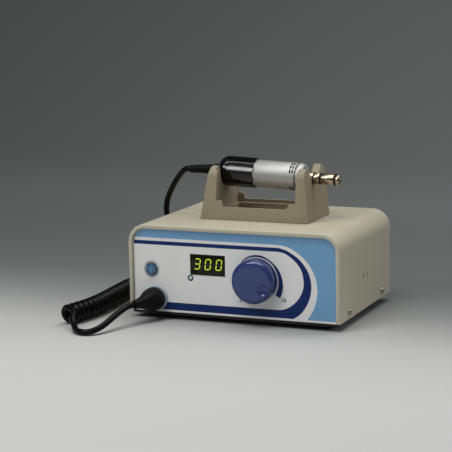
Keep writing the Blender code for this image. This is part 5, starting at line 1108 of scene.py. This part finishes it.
class OBJECT_OT_polisher_plug(bpy.types.Operator):
    """Turn the jack's ring and the rubber boot, and bend the boot towards the cord"""
    bl_idname = "object.polisher_plug"
    bl_label = "Jack and boot"

    RING = ((1.8, 6.6), (1.8, 9.6), (1.55, 10.1), (1.1, 10.4), (0.3, 10.4), (0.3, 8.0), (-14, 8.0), (-14, 0),
            (-12, 0), (-12, 6.6))
    # Radius of the boot from its face to its tip, as shares of the largest one
    SHARES = (0.90, 0.985, 1.0, 0.985, 0.93, 0.84, 0.73, 0.62, 0.52, 0.45, 0.40, 0.365)
    BOOT_RADIUS, FIRST_STATION = 9.6, 0.6
    FACE, WALL, BORE = (6.7, 8.3), ((8, 2.6), (8, 6.6)), 2.6

    def execute(self, context):
        ring = turned("jack_ring", out_of_film(JACK), self.RING, ring=True)
        soften(ring, 0.15)
        dress(ring, "blue_grey_moulding", stands_for=["motor_jack"])
        path = boot_path(BEND_STEPS)
        reach = path_length(path) / MM
        stations = []
        for number, share in enumerate(self.SHARES):
            along = (number - self.FIRST_STATION) / (len(self.SHARES) - 1 - self.FIRST_STATION) if number else 0
            stations.append(Vector((reach * along, self.BOOT_RADIUS * share, 0)))
        outer = [(0, radius) for radius in self.FACE]
        outer += [(p.x, p.y) for p in smooth_route(stations)[::ROUTE_STEPS // 4]]
        outer += [(reach, self.BORE + 0.1), (reach - 1.5, self.BORE), *self.WALL]
        boot = turned("rubber_boot", STRAIGHT, outer, 48, ring=True)
        bend_along(boot, path)
        dress(boot, "matte_black_vinyl", stands_for=["plug_boot"], smooth=45)
        return {"FINISHED"}


class OBJECT_OT_polisher_cradle(bpy.types.Operator):
    """Mould the cradle: end walls, rails, tray, its two notches and the channel in its end"""
    bl_idname = "object.polisher_cradle"
    bl_label = "Cradle"

    LEFT, RIGHT, TALL, DEPTH, ROUND, TAPER = -43.6, 51.0, 43.0, 52.0, 8.5, 0.6
    INNER_LEFT, INNER_RIGHT = -29.4, 39.7
    # The front seen from the front: end walls that lean inwards, with a step up to each from the rail
    SIDE = ((LEFT, 0), (-35.0, TALL), (-28.2, TALL), (INNER_LEFT, 15.3), (-24.9, 15.3), (-23.2, 10.3), (31.9, 10.3),
            (34.5, 15.3), (INNER_RIGHT, 15.3), (41.2, TALL), (47.0, TALL), (RIGHT, 0))
    RAIL = 2.8
    TRAY, TRAY_SPAN = ((INNER_LEFT, 7.6), (INNER_RIGHT, 7.6), (40.9, 46), (-30.6, 46)), 46.4
    RECESS_LEFT, RECESS_RIGHT, RECESS_BACK, RECESS_FLOOR, RECESS_TOP = -26.5, 36.0, 43.5, 3.2, 12
    UNDERSIDE_BACK, UNDERSIDE_TOP = 49.2, 1.4
    # The right wall leans by its lean, and its channel is a large cylinder let into it
    LEAN, WALL_MIDDLE = 4.0, 2.9
    VEE_X, VEE_SPAN, VEE_DROP = 36.7, 17.3, 4.8
    BOWL_X, BOWL_SPAN, BOWL_RADIUS, BOWL_MOUTH = -46.6, 20.2, 12.9, 15.1
    CHANNEL_DEPTH, CHANNEL_RADIUS, CHANNEL_HALF, CHANNEL_FALL = 1.8, 18, 43, 24

    def execute(self, context):
        front = CRADLE_Y - self.DEPTH / 2
        cradle = prism("moulded_cradle", self.SIDE, self.DEPTH + 6,
                       lambda u, v, reach: at(u, front - 3 + reach, CRADLE_Z + v))
        half, spread, level = self.DEPTH / 2, self.DEPTH / 2 - self.TAPER - self.ROUND, self.TALL - self.ROUND
        ends = [(-half, -3), (half, -3), (half, 0)] + arc((spread, level), self.ROUND, 0, 90, 12)
        ends += arc((-spread, level), self.ROUND, 90, 180, 12) + [(-half, 0)]
        combine(cradle, prism("ends", ends, 101, facing_end(self.LEFT - 3, CRADLE_Y, CRADLE_Z)), "INTERSECT")
        inside = front + self.RAIL
        combine(cradle, prism("tray", self.TRAY, self.TRAY_SPAN,
                              lambda u, v, reach: at(u, inside + reach, CRADLE_Z + v)))
        combine(cradle, add_box("recess", (self.RECESS_LEFT, inside, CRADLE_Z + self.RECESS_FLOOR),
                                (self.RECESS_RIGHT, front + self.RECESS_BACK, CRADLE_Z + self.RECESS_TOP)))
        combine(cradle, add_box("underside", (self.INNER_LEFT, inside, CRADLE_Z - 5),
                                (self.INNER_RIGHT, front + self.UNDERSIDE_BACK, CRADLE_Z + self.UNDERSIDE_TOP)))
        self.cut_notches(cradle)
        soften(cradle, sizes().cradle_edge / MM, 3, 28)
        dress(cradle, "taupe_grained_abs", stands_for=["cradle"])
        return {"FINISHED"}

    def cut_notches(self, cradle):
        """A vee for the nose, a bowl for the sleeve, and the channel down the right wall."""
        top = CRADLE_Z + self.TALL + 3
        middle = self.RIGHT - self.LEAN - self.WALL_MIDDLE
        apex = MOTOR_LEVEL - middle * math.tan(MOTOR_TILT) - self.VEE_DROP * math.sqrt(2)
        rise = top - apex
        combine(cradle, prism("vee", [(0, 0), (rise, rise), (-rise, rise)], self.VEE_SPAN,
                              facing_end(self.VEE_X, CRADLE_Y, apex)))
        level = MOTOR_LEVEL - self.INNER_LEFT * math.tan(MOTOR_TILT)
        bowl = arc((0, 0), self.BOWL_RADIUS, 180, 360, 24)
        bowl += [(self.BOWL_MOUTH, top - level), (-self.BOWL_MOUTH, top - level)]
        combine(cradle, prism("bowl", bowl, self.BOWL_SPAN, facing_end(self.BOWL_X, CRADLE_Y, level)))
        lean = self.LEAN / self.TALL
        face = self.RIGHT - lean * (apex - CRADLE_Z)
        tilt = math.atan(lean + self.CHANNEL_DEPTH / self.CHANNEL_FALL)
        along = Vector((-math.sin(tilt), 0, math.cos(tilt)))
        line = (at(face - self.CHANNEL_DEPTH + self.CHANNEL_RADIUS, CRADLE_Y, apex), along, TO_BACK)
        combine(cradle, rod("channel", line, -self.CHANNEL_HALF, self.CHANNEL_HALF, self.CHANNEL_RADIUS, LARGE))


class OBJECT_OT_polisher_motor(bpy.types.Operator):
    """Turn the motor's pieces on their common line: relief, fluted sleeve, barrel, nose and spigot"""
    bl_idname = "object.polisher_motor"
    bl_label = "Motor"

    # Relief: a plug into the sleeve, a collar and tapering ribs
    PLUG, COLLAR, RIBS, RIB_RADIUS, RIB_TAPER = 4.7, 5.3, 9, 4.2, 0.85
    # Where a gap ends and a rib rises, runs and falls, as shares of the pitch, and how far below its top
    RIB = ((0.05, 0.75), (0.38, 0.75), (0.50, 0.1), (0.62, 0), (0.88, 0), (0.98, 0.1))
    SLEEVE_END, SLEEVE_RADIUS = -35.4, 12.6
    DOME_LENGTH, DOME_ROOT, DOME_RISE = 8.4, 5.0, 7.6
    SLEEVE_STATIONS = (-27, -25, -22, -18, -14, -10, -6, -4, -2.4)
    SLEEVE_BORE = ((-2.0, 12.3), (-2.0, 11.65), (-8.0, 11.65), (-8.0, 10.7), (-26.4, 10.7), (-26.4, 3.0),
                   (SLEEVE_END, 3.0))
    # The sleeve's flats bow out by a radius; their middles lie at a reach from the motor's line
    BOW, FLAT_REACH, FLAT_TURN = 35.0, 12.0, math.radians(26)
    # They run out along the dome; the bore's corners, under these radii, keep their places
    EASE_START, EASE_LENGTH, OUTSIDE = -30.0, 4.5, 11.9
    SCALLOP, SCALLOP_START, SCALLOP_RADIUS = 1.3, -2.6, 11.3
    BARREL = ((-26.1, 10.4), (-7.7, 10.4), (-7.7, 11.35), (33.1, 11.35), (33.4, 11.05), (33.4, 9.9), (-26.1, 9.9))
    NOSE = ((20.5, 5.8), (20.5, 9.6), (33.7, 9.6), (33.7, 10.3), (35.0, 10.3), (35.0, 11.3), (36.0, 11.3),
            (39.0, 10.3), (39.5, 9.8), (39.5, 3.9), (34.0, 3.9), (34.0, 2.4), (27.3, 2.4), (27.3, 5.8))
    DASH_ROWS, DASH_START, DASH_PITCH, DASH_SWEEP = (28.7, 30.9), 12, 20.5, 16.5
    DASH_WIDTH, DASH_BUILD, DASH_RADIUS, DASH_STEPS = 1.4, 0.04, 11.36, 5
    SPIGOT_ROOT = ((34.3, 2.1), (34.3, 3.6), (39.8, 3.6), (39.8, 4.3), (40.0, 4.5))
    # Middle and width of each groove, and the spigot's radius before and after it
    GROOVES, GROOVE_RADIUS = ((47.3, 0.9, 4.5, 4.7), (53.2, 1.6, 4.7, 4.4), (65.3, 1.6, 4.4, 4.5)), 3.7
    # Centre and radius of the rounded tip, and the seat of the dog inside it
    TIP_CENTRE, TIP_RADIUS, TIP_SEAT = (68.4, 3.5), 1.2, ((69.6, 2.9), (65.6, 2.9), (65.6, 2.1))
    # The snap groove's ring is a black ring laid in to paint the shade of the groove; the rear and front rings are
    # the nozzle's own
    RINGS = (("snap_ring", (), 47.3, 0.4), ("rear_ring", ("nozzle_ring_rear",), 53.2, 0.52),
             ("front_ring", ("nozzle_ring_front",), 65.3, 0.52))
    RING_RADIUS = 4.8
    DOG = ((67.4, 0), (67.4, 2.2), (69.8, 2.2), (70.3, 1.7), (70.3, 0))
    DOG_SLOT = Vector((3.2, 6, 1))

    def execute(self, context):
        self.add_relief()
        self.add_sleeve()
        self.add_barrel()
        self.add_spigot()
        return {"FINISHED"}

    def on_motor(self, piece, finish, slot, *nodes, smooth=30):
        dress(piece, finish, body="motor", stands_for=nodes, smooth=smooth)

    def add_relief(self):
        """Ribs and gaps, tapering towards the cord, then laid on the drooping line."""
        reach = RELIEF_END - RELIEF_START
        profile = [(-self.PLUG, 0), (-self.PLUG, 2.7), (0, 2.7), (0, 4.6), (0.4, 5.0), (4.9, 5.0), (self.COLLAR, 4.6)]
        pitch = (reach - self.COLLAR) / self.RIBS
        for number in range(self.RIBS):
            start = self.COLLAR + number * pitch
            radius = self.RIB_RADIUS - self.RIB_TAPER * number / (self.RIBS - 1)
            profile += [(start + share * pitch, radius - below) for share, below in self.RIB]
        profile += [(reach, 2.55), (reach - 1, 2.5), (reach - 1, 0)]
        relief = turned("ribbed_relief", STRAIGHT, profile, 36)
        path = relief_path(BEND_STEPS)
        path.insert(0, path[0] + MOTOR_LINE[1] * self.PLUG * MM)
        focus(relief)
        bpy.ops.transform.translate(value=(self.PLUG * MM, 0, 0))
        fix_place()
        bend_along(relief, path)
        self.on_motor(relief, "matte_black_vinyl", "rubber", "motor_strain_relief", smooth=35)

    def add_sleeve(self):
        """A domed sleeve, whose corners are then drawn in to make its flats and its scalloped edge."""
        profile = []
        for angle in map(math.radians, range(0, 90, 9)):
            profile.append((self.SLEEVE_END + self.DOME_LENGTH * (1 - math.cos(angle)),
                            self.DOME_ROOT + self.DOME_RISE * math.sin(angle)))
        profile += [(reach, self.SLEEVE_RADIUS) for reach in self.SLEEVE_STATIONS] + list(self.SLEEVE_BORE)
        sleeve = turned("fluted_sleeve", MOTOR_LINE, profile, 160, ring=True)
        start, along, out = MOTOR_LINE
        side = along.cross(out)
        wedge = FULL / sizes().flutes
        inset = self.BOW - self.FLAT_REACH
        for corner in sleeve.data.vertices:
            offset = corner.co - start
            reach = offset.dot(along) / MM
            across, upward = offset.dot(side), offset.dot(out)
            radius = math.hypot(across, upward) / MM
            turn = (math.atan2(-across, upward) - self.FLAT_TURN) % wedge - wedge / 2
            off = wedge / 2 - abs(turn)
            facet = math.sqrt(self.BOW ** 2 - (inset * math.sin(off)) ** 2) - inset * math.cos(off)
            flat = max(0.0, 1 - facet / self.SLEEVE_RADIUS)
            ease = min(1.0, max(0.0, (reach - self.EASE_START) / self.EASE_LENGTH))
            shift = Vector((0, 0, 0))
            if radius > self.OUTSIDE:
                shift -= (side * across + out * upward) * flat * ease
            if reach > self.SCALLOP_START and radius > self.SCALLOP_RADIUS:
                shift -= along * self.SCALLOP * MM * (1 - math.cos(FULL * turn / wedge + math.pi)) / 2
            corner.co += shift
        soften(sleeve, 0.15, 2, 50)
        self.on_motor(sleeve, "polished_black_acetal", "black_gloss", "motor_sleeve", smooth=35)

    def add_barrel(self):
        for name, profile, edge, node in (("motor_barrel", self.BARREL, 0.12, "motor_body"),
                                          ("motor_nose_ring", self.NOSE, 0.15, "motor_nose")):
            piece = turned(name, MOTOR_LINE, profile, LARGE, ring=True)
            soften(piece, edge)
            self.on_motor(piece, "satin_turned_aluminium", "aluminium", node)
        for group in range(3):
            for row, reach in enumerate(self.DASH_ROWS):
                for number in range(3):
                    angle = self.DASH_START + 120 * group + self.DASH_PITCH * number
                    self.add_dash(f"barrel_mark_{group + 1}_{row + 1}_{number + 1}", reach, angle)

    def add_dash(self, name, reach, angle):
        """A short printed dash that lies round the barrel, its angle from the top towards the front."""
        start, along, out = MOTOR_LINE
        side = out.cross(along)
        points = []
        for step in range(self.DASH_STEPS + 1):
            turn = math.radians(angle + self.DASH_SWEEP * step / self.DASH_STEPS)
            outwards = out * math.cos(turn) - side * math.sin(turn)
            points.append(start + (along * reach + outwards * self.DASH_RADIUS) * MM)
        dash = draw(name, points)
        extrude(along * self.DASH_WIDTH * MM)
        close_up(dash)
        modify(dash, "SOLIDIFY", thickness=self.DASH_BUILD * MM, offset=0)
        self.on_motor(dash, "black_pad_print", "black_gloss")

    def add_spigot(self):
        """The grooved spigot, the rings in its grooves and the slotted dog at its tip; the ring in the snap groove is
        black only to paint the groove's shade.
        """
        profile = list(self.SPIGOT_ROOT)
        for middle, width, before, after in self.GROOVES:
            near, far = middle - width / 2, middle + width / 2
            profile += [(near, before), (near, self.GROOVE_RADIUS), (far, self.GROOVE_RADIUS), (far, after)]
        profile += arc(self.TIP_CENTRE, self.TIP_RADIUS, 90, 0, 8) + list(self.TIP_SEAT)
        spigot = turned("coupling_spigot", MOTOR_LINE, profile, ring=True)
        soften(spigot, 0.1)
        self.on_motor(spigot, "bright_nickel_spigot", "steel", "coupling_nozzle")
        for name, nodes, middle, thick in self.RINGS:
            around = [(middle + thick * math.cos(angle), self.RING_RADIUS - thick + thick * math.sin(angle))
                      for angle in map(math.radians, range(0, 360, 30))]
            ring = turned(name, MOTOR_LINE, around, ring=True)
            self.on_motor(ring, "soft_black_rubber", "rubber", *nodes, smooth=60)
        dog = turned("spindle_dog", MOTOR_LINE, self.DOG, MEDIUM)
        start, along, out = MOTOR_LINE
        deselect()
        bpy.ops.mesh.primitive_cube_add(size=1, location=start + along * self.DOG[-1][0] * MM,
                                        scale=self.DOG_SLOT * MM, rotation=(0, MOTOR_TILT, 0))
        combine(dog, settle("slot"))
        soften(dog, 0.08)
        dress(dog, "ground_steel", body="rotor", stands_for=["drive_dog"])


class OBJECT_OT_polisher_rear(bpy.types.Operator):
    """Finish the rear: mains inlet, rocker and its frame, fuse cap and pedal jack"""
    bl_idname = "object.polisher_rear"
    bl_label = "Rear fittings"

    MOULDED = (
        ("mains_inlet", "inlet_moulding", "dark_moulded_plastic", 0.35, UNIT),
        ("rocker_frame", "rocker_surround", "dark_moulded_plastic", 0.4, UNIT),
        ("power_rocker", "rocker_key", "satin_black_rocker", 0.35, "rocker"),
    )
    CAP = ((13.0, 0), (13.0, 4.9), (12.6, 5.8), (12.0, 6.3), (1.8, 6.3), (1.8, 7.6), (1.5, 7.8), (0.3, 7.8),
           (0.3, 5.5), (-24, 5.5), (-24, 0))
    COIN_SLOT = (4.2, 11.6, 0.5)
    SOCKET = ((4.3, 6.2), (4.3, 7.8), (2.1, 7.8), (2.1, 9.5), (0.3, 9.5), (0.3, 7.8), (-12, 7.8), (-12, 0),
              (-5.7, 0), (-5.7, 6.2))

    def execute(self, context):
        for fitting in self.MOULDED:
            self.refine(*fitting)
        cap = turned("fuse_cap", out_of_rear(FUSE), self.CAP)
        (x, z), (across, bottom, upward) = FUSE, self.COIN_SLOT
        combine(cap, add_box("slot", (x - across, REAR_FACE + bottom, z - upward),
                             (x + across, REAR_FACE + 14, z + upward)))
        soften(cap, 0.2)
        dress(cap, "dark_moulded_plastic", stands_for=["fuse_holder"])
        jack = turned("pedal_socket_ring", out_of_rear(PEDAL), self.SOCKET, ring=True)
        soften(jack, 0.25)
        dress(jack, "nickel_plated_steel", stands_for=["pedal_jack"])
        return {"FINISHED"}

    def refine(self, node, name, finish, edge, body):
        """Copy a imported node, merge its corners, join its flat faces and round its edges."""
        copy = bpy.data.objects.new(name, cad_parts[node].data.copy())
        bpy.context.scene.collection.objects.link(copy)
        focus(copy, "EDIT")
        bpy.ops.mesh.select_all(action="SELECT")
        bpy.ops.mesh.remove_doubles(threshold=WELD)
        bpy.ops.mesh.dissolve_limited(angle_limit=math.radians(1))
        close_up(copy)
        soften(copy, edge)
        dress(copy, finish, body=body, stands_for=[node])


STEPS = (
    OBJECT_OT_polisher_finishes, OBJECT_OT_polisher_stage, OBJECT_OT_polisher_cord, OBJECT_OT_polisher_cover,
    OBJECT_OT_polisher_screws, OBJECT_OT_polisher_panel, OBJECT_OT_polisher_display, OBJECT_OT_polisher_button,
    OBJECT_OT_polisher_knob, OBJECT_OT_polisher_plug, OBJECT_OT_polisher_cradle, OBJECT_OT_polisher_motor,
    OBJECT_OT_polisher_rear,
)


class VIEW3D_PT_polisher(bpy.types.Panel):
    """Lists the polisher's sizes, colours and building steps"""
    bl_label = "Polisher"
    bl_space_type = "VIEW_3D"
    bl_region_type = "UI"
    bl_category = "Polisher"

    def draw(self, context):
        for group in (context.scene.polisher_sizes, context.scene.polisher_colours):
            column = self.layout.column()
            for name in group.__annotations__:
                column.prop(group, name)
        for step in STEPS:
            self.layout.operator(step.bl_idname)


CLASSES = (PolisherSizes, PolisherColours, *STEPS, VIEW3D_PT_polisher)


def register():
    for kind in CLASSES:
        bpy.utils.register_class(kind)
    bpy.types.Scene.polisher_sizes = bpy.props.PointerProperty(type=PolisherSizes)
    bpy.types.Scene.polisher_colours = bpy.props.PointerProperty(type=PolisherColours)


def unregister():
    del bpy.types.Scene.polisher_colours
    del bpy.types.Scene.polisher_sizes
    for kind in reversed(CLASSES):
        bpy.utils.unregister_class(kind)


def main():
    register()
    for step in STEPS:
        group, name = step.bl_idname.split(".")
        getattr(getattr(bpy.ops, group), name)()
    deselect()


if __name__ == "__main__":
    main()
